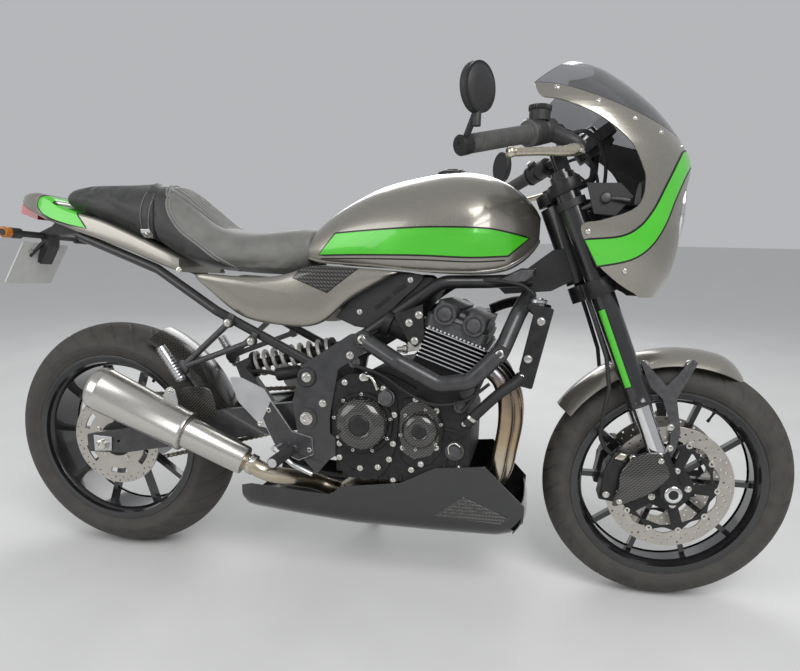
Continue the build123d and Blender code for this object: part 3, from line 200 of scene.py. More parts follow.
cast_grey = surface("cast_grey_alloy", (0.1, 0.1, 0.103), 0.45, 0.8, 0.2, 90.0, 0.4, 1400.0)
alloy = surface("machined_alloy", (0.6, 0.6, 0.61), 0.33, 1.0, 0.05, 22.0, 0.02, 400.0)
bolt_steel = surface("bolt_steel", (0.62, 0.6, 0.56), 0.25, 1.0, 0.2, 220.0, 0.1)
chrome = surface("polished_chrome", (0.75, 0.75, 0.76), 0.08, 1.0, 0.05, 30.0)
lever_gold = surface("lever_alloy", (0.62, 0.57, 0.46), 0.24, 1.0, 0.1, 100.0, 0.05)
plastic = surface("black_plastic", (0.02, 0.02, 0.021), 0.5, 0.0, 0.2, 60.0, 0.3, 1500.0)
grip_grey = surface("grip_rubber", (0.075, 0.075, 0.072), 0.6, 0.0, 0.2, 70.0, 0.3, 1100.0)
rubber = surface("black_rubber", (0.018, 0.018, 0.018), 0.62, 0.0, 0.2, 80.0, 0.3, 1100.0)
steel_disc = surface("disc_steel", (0.5, 0.47, 0.43), 0.3, 1.0, 0.08, 30.0, 0.05, 500.0)
chain_steel = surface("chain_steel", (0.3, 0.27, 0.22), 0.4, 1.0, 0.3, 160.0, 0.2)
amber = surface("amber_lens", (0.8, 0.25, 0.02), 0.15, 0.0, 0.1, 50.0, transmission_weight=0.4)
lamp_clear = surface(
    "clear_lens", (0.72, 0.73, 0.75), 0.08, 0.0, 0.05, 30.0, transmission_weight=0.35, coat_weight=1.0
)
lamp_red = surface("red_lens", (0.35, 0.01, 0.012), 0.12, 0.0, 0.15, 60.0, coat_weight=1.0)
plate_white = surface("plate_white", (0.62, 0.62, 0.6), 0.4, 0.0, 0.06, 25.0)
mirror_glass = surface("mirror_glass", (0.7, 0.72, 0.74), 0.02, 1.0, 0.02, 10.0)
screen = surface("smoked_screen", (0.42, 0.42, 0.43), 0.04, 0.0, 0.08, 8.0, transmission_weight=0.92, ior=1.35)
dial_face = surface("dial_face", (0.03, 0.03, 0.032), 0.25, 0.0, 0.2, 60.0, coat_weight=1.0)
spring_grey = surface("spring_grey", (0.52, 0.5, 0.46), 0.35, 0.2, 0.1, 60.0, 0.1, coat_weight=0.3)
tyre_rubber = surface("tyre_rubber", (0.05, 0.046, 0.041), 0.7, 0.0, 0.3, 30.0, 0.5, 700.0)
floor_paint = surface("pale_floor", (0.7, 0.7, 0.69), 0.6, 0.0, 0.03, 3.0)


def carbon(name, size, tilt, gloss=0.03):
    """Carbon cloth in a twill weave under clear coat."""
    mat = material(name, (0.03, 0.03, 0.03), 0.25, 0.3, coat_weight=1.0, coat_roughness=gloss)
    threads = {
        "Vector": node(mat, "TexCoord").outputs["Object"], "Rotation": (0, tilt, 0), "Scale": (1 / size,) * 3
    }
    split = node(mat, "SeparateXYZ", {"Vector": node(mat, "Mapping", threads).outputs[0]})
    total = node(mat, "Math", {0: split.outputs["X"], 1: split.outputs["Z"]}, operation="ADD").outputs[0]
    waves = node(mat, "Math", {0: total, 1: 1.0}, operation="PINGPONG").outputs[0]
    rows = node(mat, "Math", {0: split.outputs["Z"], 1: 1.0}, operation="PINGPONG").outputs[0]
    weave = node(mat, "Math", {0: waves, 1: rows}, operation="MULTIPLY").outputs[0]
    to_shader(mat, "Base Color", ramp(mat, weave, (0.05, (0.006, 0.006, 0.006)), (0.5, (0.1, 0.095, 0.085))))
    bump(mat, weave, 0.15, 0.0004)
    return mat


weave_fine = carbon("carbon_weave", 0.0042, 0.0)
weave_small = carbon("carbon_hugger", 0.0019, math.radians(30), 0.2)
weave_cover = carbon("carbon_cover", 0.003, math.radians(45))


def brushed(name, colour, rough, stretch):
    """Metal with fine streaks."""
    mat = material(name, colour, rough, 1.0)
    streaks = noise(mat, 220.0, 5.0, stretch)
    mottle(mat, streaks, colour, (0.86, 1.1), (rough * 0.8, rough * 1.3))
    bump(mat, streaks, 0.12, 0.0003)
    return mat


can_steel = brushed("brushed_silencer", (0.6, 0.585, 0.55), 0.26, (2, 14, 14))


def heat_steel(name):
    """Exhaust steel that goes from straw through brown to blue along the machine."""
    mat = material(name, (0.5, 0.42, 0.3), 0.25, 1.0)
    split = node(mat, "SeparateXYZ", {"Vector": place(mat)})
    patches = noise(mat, 9.0, 3.0)
    height = node(mat, "Math", {0: patches, 1: 0.25, 2: split.outputs["Z"]}, operation="MULTIPLY_ADD").outputs[0]
    reach = node(mat, "MapRange", {"Value": height, "From Min": 0.3, "From Max": 0.72}).outputs[0]
    tints = [
        (0.0, (0.5, 0.43, 0.3)), (0.35, (0.56, 0.5, 0.4)), (0.6, (0.46, 0.35, 0.22)), (0.85, (0.3, 0.23, 0.18)),
        (1.0, (0.25, 0.25, 0.3))
    ]
    to_shader(mat, "Base Color", ramp(mat, reach, *tints))
    to_shader(mat, "Roughness", spread(mat, patches, 0.2, 0.34))
    bump(mat, noise(mat, 500.0), 0.08, 0.0004)
    return mat


pipe_steel = heat_steel("heat_tinted_steel")


def hide(name, colour, rough):
    """Leather or coated cloth with a fine cell grain."""
    mat = material(name, colour, rough, 0.0, sheen_weight=0.15)
    mottle(mat, noise(mat, 25.0, 3.0), colour, (0.85, 1.18), (rough * 0.88, rough * 1.12))
    grain = {"Vector": place(mat), "Scale": 620.0}
    bump(mat, node(mat, "TexVoronoi", grain, feature="DISTANCE_TO_EDGE").outputs["Distance"], 0.35, 0.0012)
    return mat


hide_black = hide("black_seat_leather", (0.026, 0.026, 0.025), 0.42)
hide_grey = hide("grey_seat_leather", (0.15, 0.148, 0.138), 0.5)
stitching = surface("grey_piping", (0.2, 0.2, 0.195), 0.5, 0.0, 0.2, 300.0, 0.3)


# Shapes: each gives points in millimetres and faces


def shift(shapes):
    """Shapes joined into one list of points and one of faces."""
    points, faces = [], []
    for some, their in shapes:
        faces += [tuple(i + len(points) for i in face) for face in their]
        points += some
    return points, faces


def mirrored(*shapes):
    """Shapes with their mirror images on the other side."""
    both = list(shapes)
    for points, faces in shapes:
        both.append(([Vector((p[0], -p[1], p[2])) for p in points], [tuple(reversed(face)) for face in faces]))
    return both


def quads(rows, count, close_rows=False, close_ring=False):
    """Faces between rows of points with equal counts."""
    faces = []
    for r in range(rows if close_rows else rows - 1):
        here, there = r * count, (r + 1) % rows * count
        for i in range(count if close_ring else count - 1):
            j = (i + 1) % count
            faces.append((here + i, here + j, there + j, there + i))
    return faces


def spline_point(a, b, c, d, t):
    """Smooth point between b and c."""
    return 0.5 * (2 * b + (c - a) * t + (2 * a - 5 * b + 4 * c - d) * t**2 + (3 * b - a - 3 * c + d) * t**3)


def stations(table, steps=4):
    """Rows of a table with smooth rows between them."""
    rows, last = [], len(table) - 1
    for i in range(last):
        near = table[max(i - 1, 0)], table[i], table[i + 1], table[min(i + 2, last)]
        rows += [[spline_point(*column, k / steps) for column in zip(*near)] for k in range(steps)]
    return rows + [list(table[-1])]


def curve(points, steps=6, closed=False):
    """Smooth line through points."""
    points = [Vector(p) for p in points]
    n = len(points)
    line = []
    for i in range(n if closed else n - 1):
        near = [points[(i + k) % n] for k in (-1, 0, 1, 2)]
        if not closed:
            near = points[max(i - 1, 0)], points[i], points[i + 1], points[min(i + 2, n - 1)]
        line += [spline_point(*near, k / steps) for k in range(steps)]
    return line if closed else line + [points[-1]]


def flat(points, steps=5, closed=False):
    """Smooth outline through (x, z) points."""
    return [(p.x, p.y) for p in curve([(x, z, 0) for x, z in points], steps, closed)]


def polar(radius, degrees, centre=(0, 0)):
    angle = math.radians(degrees)
    return centre[0] + radius * math.cos(angle), centre[1] + radius * math.sin(angle)


def circle(radius, steps=32, centre=(0, 0)):
    return [polar(radius, 360 * k / steps, centre) for k in range(steps)]


def turned(start, axis, profile, steps=48):
    """Turned about a line from (distance along, radius) points."""
    start, axis = Vector(start), Vector(axis).normalized()
    side = axis.orthogonal().normalized()
    other = axis.cross(side)
    points = []
    for k in range(steps):
        angle = 2 * math.pi * k / steps
        out = side * math.cos(angle) + other * math.sin(angle)
        points += [start + axis * along + out * radius for along, radius in profile]
    return points, quads(steps, len(profile), close_rows=True)


def grid(rows):
    """Open sheet through rows of points."""
    return [Vector(p) for row in rows for p in row], quads(len(rows), len(rows[0]))


def skin(rings, caps=True):
    """Surface through closed rings with equal counts of points."""
    n = len(rings[0])
    faces = quads(len(rings), n, close_ring=True)
    if caps:
        faces += [tuple(reversed(range(n))), tuple(range((len(rings) - 1) * n, len(rings) * n))]
    return [Vector(p) for ring in rings for p in ring], faces


def pipe(points, radius, sides=12, steps=6):
    """Tube along a smooth line. The radius is one number or one for each point."""
    line = curve(points, steps) if steps > 1 else [Vector(p) for p in points]
    radii = [radius] * len(line)
    if isinstance(radius, list):
        radii = [r[0] for r in stations([(r,) for r in radius], steps)]
    normal, rings = None, []
    for i, p in enumerate(line):
        along = (line[min(i + 1, len(line) - 1)] - line[max(i - 1, 0)]).normalized()
        normal = along.orthogonal() if normal is None else normal - along * normal.dot(along)
        normal.normalize()
        other = along.cross(normal)
        turns = [2 * math.pi * k / sides for k in range(sides)]
        rings.append([p + (normal * math.cos(a) + other * math.sin(a)) * radii[i] for a in turns])
    return skin(rings)


def board(outline, near, far):
    """Flat plate with a side outline of (x, z) points from one side offset to another."""
    return skin([[Vector((x, y, z)) for x, z in outline] for y in (near, far)])


def pipes(points, radius, sides):
    """The same tube on both sides of the machine."""
    return [pipe([(x, side * y, z) for x, y, z in points], radius, sides) for side in SIDES]


def boards(outline, near, far):
    """The same plate on both sides of the machine."""
    return [board(outline, side * near, side * far) for side in SIDES]


def slab(spot, wide, high, out, outline, levels):
    """Plate at a spot with an outline along two directions, between two levels along a third."""
    return skin([[spot + wide * u + high * v + out * h for u, v in outline] for h in levels])


def pillow(outline, near, far, crown):
    """Closed body with a flat back and a crowned face."""
    centre = sum((Vector(p) for p in outline), Vector((0, 0))) / len(outline)
    rings = [[Vector((x, near, z)) for x, z in outline]]
    for share, rise in ((1, 0.5), (0.985, 0.62), (0.95, 0.74), (0.87, 0.86), (0.7, 0.95), (0.45, 0.99), (0.15, 1)):
        spots = [centre + (Vector(p) - centre) * share for p in outline]
        rings.append([Vector((p.x, near + (far - near) * rise + crown * (1 - share), p.y)) for p in spots])
    return skin(rings)


def pillows(outline, near, far, crown):
    """The same crowned body on both sides of the machine."""
    return [pillow(outline, side * near, side * far, side * crown) for side in SIDES]


def bolt(spot, direction, radius, height=None, flange=1.35):
    """Socket head bolt standing on a spot."""
    h = height or radius * 0.9
    profile = [(0, 0), (0, radius * flange), (h * 0.25, radius * flange), (h * 0.3, radius), (h * 0.9, radius)]
    profile += [(h, radius * 0.88), (h, radius * 0.5), (h * 0.45, radius * 0.45), (h * 0.45, 0)]
    return turned(spot, direction, profile, 18)


def side_bolts(offset, radius, height, spots, sides=SIDES):
    """Bolts at (x, z) spots that stand out of both sides, at an offset from the middle."""
    return [bolt((x, side * offset, z), (0, side, 0), radius, height) for side in sides for x, z in spots]


def ribbed(start, pitch, count, steps, high, low):
    """Profile of ribs along a peg or grip: the steps are the ends of each crest and of each groove."""
    return [(start + pitch * k + at, r) for k in range(count) for at, r in zip(steps, (high, high, low, low))]


# Pieces: a shape becomes a mesh that rides on a body of the CAD model


def evaluated(obj):
    """New mesh of an object with its modifiers."""
    graph = bpy.context.evaluated_depsgraph_get()
    return bpy.data.meshes.new_from_object(obj.evaluated_get(graph), depsgraph=graph)


def bake(obj):
    """Applies an object's modifiers."""
    obj.data = evaluated(obj)
    obj.modifiers.clear()


def finished(obj):
    """Copy of an object's mesh with its modifiers, in the machine's millimetres."""
    mesh = evaluated(obj)
    mesh.transform(BIKE_BACK @ obj.matrix_world)
    return mesh


def round_edges(obj, width, angle):
    edge = obj.modifiers.new("edge", "BEVEL")
    edge.width = width * MM
    edge.segments = 2
    edge.limit_method = "ANGLE"
    edge.angle_limit = math.radians(angle)
    edge.harden_normals = True


def dress(name, mesh, mat, body, smooth=38, bevel=0.0, thick=0.0, inner=None, replaces=()):
    """Makes a mesh a piece that rides on a body."""
    mesh.materials.append(mat)
    mesh.shade_smooth()
    mesh.set_sharp_from_angle(angle=math.radians(smooth))
    obj = placed(name, mesh)
    if thick:
        shell = obj.modifiers.new("wall", "SOLIDIFY")
        shell.thickness = thick * MM
        shell.offset = -1
        if inner:
            mesh.materials.append(inner)
            shell.material_offset = 1
        bake(obj)
        obj.data.set_sharp_from_angle(angle=math.radians(smooth))
    if bevel:
        round_edges(obj, bevel, 40)
    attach(obj, body)
    if replaces:
        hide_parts(*replaces)
    return obj


def solid(name, shapes, mat, body="chassis", **how):
    """Piece of one or more shapes."""
    points, faces = shift(shapes)
    mesh = bpy.data.meshes.new(name)
    mesh.from_pydata([BIKE @ Vector(p) for p in points], [], faces)
    form = bmesh.new()
    form.from_mesh(mesh)
    bmesh.ops.remove_doubles(form, verts=form.verts, dist=1e-6)
    bmesh.ops.recalc_face_normals(form, faces=form.faces)
    form.to_mesh(mesh)
    form.free()
    return dress(name, mesh, mat, body, **how)


def region(name, source, outline, lift, mat, body="chassis", keep=None, **how):
    """Piece of a source surface inside a side outline of (x, z) points, lifted off it."""
    base = bmesh.new()
    base.from_mesh(source)
    if keep:
        unwanted = [f for f in base.faces if not keep(f.calc_center_median())]
        bmesh.ops.delete(base, geom=unwanted, context="FACES")
    loop = [Vector((x, z, 0)) for x, z in outline]
    joined = bmesh.new()
    for corners in geometry.tessellate_polygon([loop]):
        part = base.copy()
        tri = [loop[i] for i in corners]
        middle = sum(tri, Vector()) / 3
        for a, b in zip(tri, tri[1:] + tri[:1]):
            out = Vector((b.y - a.y, 0, a.x - b.x))
            if out.length < 1e-6:
                continue
            spot = Vector((a.x, 0, a.y))
            if out.dot(Vector((middle.x, 0, middle.y)) - spot) > 0:
                out.negate()
            whole = part.verts[:] + part.edges[:] + part.faces[:]
            bmesh.ops.bisect_plane(part, geom=whole, plane_co=spot, plane_no=out, clear_outer=True)
        scrap = bpy.data.meshes.new("part")
        part.to_mesh(scrap)
        joined.from_mesh(scrap)
        bpy.data.meshes.remove(scrap)
        part.free()
    base.free()
    bmesh.ops.remove_doubles(joined, verts=joined.verts, dist=0.02)
    joined.normal_update()
    for vert in joined.verts:
        vert.co += vert.normal * lift
    bmesh.ops.transform(joined, matrix=BIKE, verts=joined.verts)
    mesh = bpy.data.meshes.new(name)
    joined.to_mesh(mesh)
    joined.free()
    return dress(name, mesh, mat, body, **how)


def grown(outline, share):
    """Closed outline moved outwards by a distance."""
    pts = [Vector(p) for p in outline]
    area = sum(a.x * b.y - b.x * a.y for a, b in zip(pts, pts[1:] + pts[:1]))
    sign = 1 if area > 0 else -1
    result = []
    for i, p in enumerate(pts):
        before, after = (p - pts[i - 1]).normalized(), (pts[(i + 1) % len(pts)] - p).normalized()
        out = Vector((before.y + after.y, -before.x - after.x)) * sign
        result.append(tuple(p + out.normalized() * share))
    return result


def drape(mesh, places, side, lift=0.0):
    """Points and normals on a mesh: from a side at (x, z) places, or with side 0 from above at (x, y) places."""
    tree = BVHTree.FromPolygons([v.co for v in mesh.vertices], [tuple(f.vertices) for f in mesh.polygons])
    found = []
    for a, b in places:
        start, run = Vector((a, b, 2000)), Vector((0, 0, -1))
        if side:
            start, run = Vector((a, side * 700, b)), Vector((0, -side, 0))
        hit, normal, _, _ = tree.ray_cast(start, run)
        if hit is not None:
            out = normal if normal.dot(run) < 0 else -normal
            found.append((hit + out * lift, out))
    return found


def stamp(name, loops, depth, mat, body, matrix, bevel=0.0, **how):
    """Flat plate with holes from closed loops of 2-D points, laid on a plane."""
    sheet = bpy.data.curves.new(name, "CURVE")
    sheet.dimensions = "2D"
    sheet.fill_mode = "BOTH"
    sheet.extrude = depth / 2 - bevel
    sheet.bevel_depth = bevel
    sheet.bevel_resolution = 1
    sheet.offset = -bevel
    for loop in loops:
        line = sheet.splines.new("POLY")
        line.points.add(len(loop) - 1)
        for point, (x, y) in zip(line.points, loop):
            point.co = (x, y, 0, 1)
        line.use_cyclic_u = True
    draft = placed(name, sheet)
    bpy.context.view_layer.update()
    mesh = evaluated(draft)
    bpy.data.objects.remove(draft)
    mesh.materials.clear()
    mesh.transform(BIKE @ matrix)
    return dress(name, mesh, mat, body, **how)


# Floor and light

floor = placed("floor", bpy.data.meshes.new("floor"))
floor.data.from_pydata([(-15, -8, 0), (15, -8, 0), (15, 20, 0), (-15, 20, 0)], [], [(0, 1, 2, 3)])
floor.data.materials.append(floor_paint)

world = bpy.data.worlds.new("studio")
bpy.context.scene.world = world
world.use_nodes = True
world.node_tree.nodes["Background"].inputs["Color"].default_value = (0.62, 0.63, 0.65, 1)
world.node_tree.nodes["Background"].inputs["Strength"].default_value = 0.75
AIM = Vector((0, 0, 0.5))
LAMPS = [
    ("key", (1.6, -2.6, 3.2), 2.2, 95), ("fill", (-3.2, -3.0, 2.4), 2.6, 50), ("back", (-0.5, 3.0, 2.6), 2.4, 48)
]
for name, spot, size, power in LAMPS:
    lamp = placed(name, bpy.data.lights.new(name, "AREA"))
    lamp.data.size = size
    lamp.data.energy = power
    lamp.location = spot
    lamp.visible_transmission = False
    lamp.rotation_mode = "QUATERNION"
    lamp.rotation_quaternion = (AIM - Vector(spot)).to_track_quat("-Z", "Y")

# Finishes of the carried-over nodes
FINISH = {
    "triple_clamps": satin_black, "fork_tubes": paint_black, "fork_sliders": satin_black, "front_axle": satin_black,
    "front_calipers": satin_black, "front_fender": paint_grey, "fender_stays": cast_grey, "handlebar": satin_black,
    "grips": rubber, "controls": plastic, "mirrors": satin_black, "headlight": plastic, "instruments": plastic,
    "fairing": paint_grey, "windscreen": screen, "brake_hoses": rubber, "front_tyre": tyre_rubber,
    "front_rim": paint_black, "front_discs": steel_disc, "rear_tyre": tyre_rubber, "rear_rim": paint_black,
    "rear_disc": steel_disc, "rear_sprocket": alloy, "chain": chain_steel, "steering_head": frame_black,
    "frame_tubes": frame_black, "cradle_tubes": graphite, "pivot_plates": graphite, "subframe": frame_black,
    "engine_block": cast_black, "cylinders": cast_black, "head_cover": cast_grey, "side_covers": cast_black,
    "airbox": plastic, "radiator": satin_black, "headers": pipe_steel, "muffler": can_steel,
    "belly_pan": paint_black, "fuel_tank": paint_grey, "rear_pad": hide_black, "rider_seat": hide_grey,
    "tail_cowl": paint_grey, "side_panels": paint_grey, "swingarm": graphite, "shock": satin_black,
    "rear_caliper": satin_black, "heel_plates": alloy, "passenger_hangers": cast_grey, "rear_hugger": weave_small,
    "tail_lamp": lamp_red, "plate_holder": plastic, "licence_plate": plate_white, "side_stand": frame_black
}
for name, finish in FINISH.items():
    NODES[name].data.materials.clear()
    NODES[name].data.materials.append(finish)
ROUNDED = ("pivot_plates", "heel_plates", "swingarm", "fender_stays", "triple_clamps", "engine_block", "radiator")
for name in (*ROUNDED, "steering_head", "plate_holder", "airbox"):
    weld = NODES[name].modifiers.new("weld", "WELD")
    weld.merge_threshold = 0.02 * MM
    round_edges(NODES[name], 1.5, 35)

# Body: tank, fairing, screen, seat, tail and side panels


def box_ring(x, low, high, half_low, half_high, corner_low, corner_high):
    """Upright cross section with round corners."""
    ring = []
    for side, level, half, corner, start in (
        (1, low, half_low, corner_low, -90), (1, high, half_high, corner_high, 0),
        (-1, high, half_high, corner_high, 90), (-1, low, half_low, corner_low, 180),
    ):
        up = 1 if level == low else -1
        for k in range(6):
            t = math.radians(start + 18 * k)
            ring.append(Vector(
                (x, side * (half - corner) + corner * math.cos(t), level + up * corner + corner * math.sin(t))
            ))
    return ring


# Tank rows: x, bottom, height of the widest place, top, half width of the flange, widest half width
TANK = [
    (558, 812, 830, 868, 74, 80), (600, 803, 832, 908, 90, 98), (660, 800, 840, 947, 104, 118),
    (740, 797, 846, 985, 118, 134), (830, 790, 850, 1007, 128, 148), (910, 788, 852, 1018, 132, 152),
    (980, 790, 855, 1012, 126, 148), (1035, 800, 858, 992, 104, 122), (1075, 822, 866, 966, 78, 92),
    (1100, 846, 874, 940, 50, 60), (1113, 866, 882, 920, 30, 38)
]


def tank_ring(x, low, wide, top, flange, half):
    right = []
    for k in range(6):
        t = math.pi / 12 * k
        right.append((flange + (half - flange) * math.sin(t), wide - (wide - low) * math.cos(t)))
    for k in range(16):
        t = math.pi / 30 * k
        right.append((half * abs(math.cos(t)) ** 0.85, wide + (top - wide) * math.sin(t) ** 0.95))
    return [Vector((x, y, z)) for y, z in right] + [Vector((x, -y, z)) for y, z in reversed(right[:-1])]


tank_rings = [tank_ring(*row) for row in stations(TANK)]
tank = solid("tank_shell", [skin(tank_rings)], paint_grey, smooth=60, replaces=["fuel_tank"])
tank_skin = finished(tank)
lip = [[Vector((row[0], side * (row[4] + 3), row[1] + 1)) for row in TANK] for side in SIDES]
solid("tank_flange", [pipe(line, 3, 8) for line in lip], paint_grey)
TANK_STRIPE = flat([(638, 868), (756, 877), (871, 883), (983, 883), (1027, 879), (1088, 868)])
TANK_STRIPE += flat([(1045, 829), (964, 823), (850, 825), (710, 824), (594, 821)])
region("tank_stripe_edge", tank_skin, grown(TANK_STRIPE, 4), 0.5, line_black)
region("tank_stripe", tank_skin, TANK_STRIPE, 0.9, paint_green)
PIN_LINE = flat([(598, 813), (710, 815), (850, 815), (964, 813), (1040, 819)])
PIN_LINE += flat([(1039, 816), (964, 810), (850, 812), (710, 812), (599, 810)])
region("tank_pin_line", tank_skin, PIN_LINE, 0.6, line_black)
CAP = [(0, 0), (0, 38), (9, 38), (11, 35), (11, 28), (14, 26), (16, 22), (16, 0)]
solid("filler_cap", [turned((900, 0, 1010), UP, CAP)], satin_black, bevel=0.6)
ring_bolts = [bolt((*polar(32, 60 * k, (900, 0)), 1021), UP, 3, 2) for k in range(6)]
solid("filler_bolts", ring_bolts, bolt_steel)

# Level sections of the nose: height, nose, half width, rear end
NOSE = [
    (745, 1392, 140, 1280), (800, 1418, 162, 1230), (876, 1430, 180, 1190), (963, 1436, 190, 1180),
    (1027, 1434, 192, 1150), (1069, 1413, 190, 1100), (1127, 1364, 178, 1060), (1172, 1311, 155, 1060),
    (1215, 1248, 112, 1070), (1234, 1208, 66, 1100)
]
LAMP = Vector((1330, 0, 940))
LAMP_RADIUS = 90


def nose_row(z, nose, half, rear, steps=56):
    depth = nose - rear
    radius = (half**2 + depth**2) / (2 * depth)
    reach = math.atan2(half, rear - nose + radius)
    angles = [reach * (2 * k / steps - 1) for k in range(steps + 1)]
    return [Vector((nose - radius + radius * math.cos(a), radius * math.sin(a), z)) for a in angles]


nose_points, nose_faces = grid([nose_row(*row) for row in stations(NOSE, 5)])
nose_tree = BVHTree.FromPolygons(nose_points, nose_faces)


def off_lamp(p):
    return Vector((0, p.y, p.z - LAMP.z)).length if p.x > LAMP.x else 999


nose_faces = [f for f in nose_faces if max(off_lamp(nose_points[i]) for i in f) > LAMP_RADIUS]
for i, p in enumerate(nose_points):
    if off_lamp(p) < LAMP_RADIUS:
        out = Vector((0, p.y, p.z - LAMP.z)).normalized() * LAMP_RADIUS
        hit = nose_tree.ray_cast(Vector((2000, out.y, LAMP.z + out.z)), Vector((-1, 0, 0)))[0]
        nose_points[i] = hit or p
nose_skin = bpy.data.meshes.new("nose")
nose_skin.from_pydata(nose_points, [], nose_faces)
if nose_skin.polygons[0].normal.dot(nose_skin.polygons[0].center - Vector((1200, 0, 900))) < 0:
    nose_skin.flip_normals()
SCREEN_LINE = flat([(1079, 1171), (1131, 1163), (1215, 1136), (1294, 1110), (1375, 1082), (1450, 1050)], 3)
OPENING = [
    (1079, 1171), (1095, 1141), (1135, 1131), (1198, 1107), (1241, 1082), (1284, 1048), (1311, 1005), (1319, 984)
]
OPENING += [
    (1318, 947), (1298, 922), (1238, 901), (1203, 895), (1201, 874), (1236, 817), (1293, 772), (1340, 747),
    (1345, 725)
]
PAINTED = flat(OPENING, 3) + [(1500, 725), (1500, 1050)] + SCREEN_LINE[:0:-1]
CLEAR = [(x, z + 1) for x, z in SCREEN_LINE] + [(1500, 1050), (1500, 1260), (1190, 1260), (1120, 1206)]
region(
    "fairing_shell", nose_skin, PAINTED, 0, paint_grey, "steering", thick=3, inner=plastic, smooth=60,
    replaces=["fairing"]
)
region("screen", nose_skin, CLEAR, 0, screen, "steering", thick=3, smooth=60, replaces=["windscreen"])
BAND = flat(
    [(1209, 861), (1280, 868), (1319, 889), (1346, 926), (1368, 977), (1390, 1028), (1402, 1048), (1424, 1056)]
)
BAND += [(1480, 1064), (1480, 1036)]
BAND += flat(
    [(1433, 1031), (1423, 1022), (1409, 999), (1390, 950), (1374, 899), (1347, 853), (1307, 825), (1240, 810)]
)
region("fairing_stripe_edge", nose_skin, grown(BAND, 4), 0.5, line_black, "steering", smooth=60)
region("fairing_stripe", nose_skin, BAND, 0.9, paint_green, "steering", smooth=60)
SCREWS = [(1126, 1157), (1210, 1128), (1287, 1099), (1344, 1078), (1397, 1060), (1213, 878), (1300, 800)]
found = [hit for side in SIDES for hit in drape(nose_skin, SCREWS, side)]
screw_heads = [
    turned(p, n, [(-2, 0), (-2, 6.5), (1, 6.5), (2.6, 5), (3, 3), (1.6, 2.6), (1.6, 0)], 18) for p, n in found
]
solid("fairing_screws", screw_heads, bolt_steel, "steering", smooth=50)
lens = [(86, 84), (90, 82), (97, 66), (102, 45), (105, 22), (106, 0)]
solid("headlight_lens", [turned(LAMP, AHEAD, lens, 64)], lamp_clear, "steering", smooth=70)
solid(
    "headlight_ring", [turned(LAMP, AHEAD, [(70, 89), (88, 89), (91, 86), (88, 82), (70, 82)], 64)], chrome,
    "steering"
)

# Seat rows: x, bottom, top, half width, how boxy
REAR_PAD = [
    (-106, 930, 956, 52, 2.6), (-84, 921, 970, 74, 2.8), (-30, 906, 973, 88, 3.0), (20, 893, 974, 97, 3.2),
    (80, 872, 975, 106, 3.2), (130, 852, 978, 112, 3.2), (172, 836, 982, 117, 3.2)
]
RIDER_SEAT = [
    (176, 834, 982, 118, 3.2), (196, 826, 980, 121, 3.1), (218, 814, 970, 124, 3.0), (245, 802, 948, 127, 2.9),
    (271, 790, 925, 131, 2.9), (300, 783, 901, 134, 2.9), (330, 778, 881, 136, 2.9), (365, 776, 870, 136, 2.8),
    (400, 774, 866, 131, 2.8), (433, 773, 866, 124, 2.8), (487, 772, 872, 109, 2.8), (540, 776, 881, 92, 2.8),
    (566, 792, 884, 82, 2.6)
]


def pad_ring(x, low, high, half, boxy):
    ring = []
    for k in range(48):
        t = 2 * math.pi * (k + 0.5) / 48
        y, z = (math.copysign(abs(v) ** (2 / boxy), v) for v in (math.cos(t), math.sin(t)))
        ring.append(Vector((x, half * y * (1 - 0.07 * z), (low + high) / 2 + (high - low) / 2 * z)))
    return ring


SEAT_BASE = 12
GROOVE_REACH, GROOVE_DEPTH = 9, 4.5


def blow_up(obj, fold):
    """Blows a cover up as cloth held at its base. No point moves further than the fold in millimetres."""
    before = [v.co.copy() for v in obj.data.vertices]
    levels = [(BIKE_BACK @ v.co).z for v in obj.data.vertices]
    held = min(levels) + SEAT_BASE
    base = obj.vertex_groups.new(name="base")
    base.add([i for i, z in enumerate(levels) if z < held], 1.0, "REPLACE")
    cloth = obj.modifiers.new("cloth", "CLOTH")
    cloth.settings.use_pressure = True
    cloth.settings.uniform_pressure_force = 4
    cloth.settings.vertex_group_mass = "base"
    cloth.settings.effector_weights.gravity = 0
    for step in range(1, 21):
        bpy.context.scene.frame_set(step)
    graph = bpy.context.evaluated_depsgraph_get()
    blown = [v.co.copy() for v in obj.evaluated_get(graph).data.vertices]
    obj.modifiers.clear()
    bpy.context.scene.frame_set(1)
    for vert, old, new in zip(obj.data.vertices, before, blown):
        move = new - old
        vert.co = old + move * min(1, fold * MM / max(move.length, 1e-9))


def press_in(obj, mesh, grooves):
    """Sinks a cover along its sewn grooves. The mesh is the same cover in the machine's millimetres."""
    lines = [[hit for hit, _ in drape(mesh, line, 0)] for line in grooves]
    dots = [p.lerp(q, t / 3) for line in lines for p, q in zip(line, line[1:]) for t in range(3)]
    near = KDTree(len(dots))
    for i, dot in enumerate(dots):
        near.insert(dot, i)
    near.balance()
    for vert, flat_vert in zip(obj.data.vertices, mesh.vertices):
        gap = near.find(flat_vert.co)[2]
        if gap < GROOVE_REACH:
            depth = GROOVE_DEPTH * (1 - (gap / GROOVE_REACH) ** 2) ** 2
            vert.co -= (BIKE.to_3x3() @ flat_vert.normal) * depth


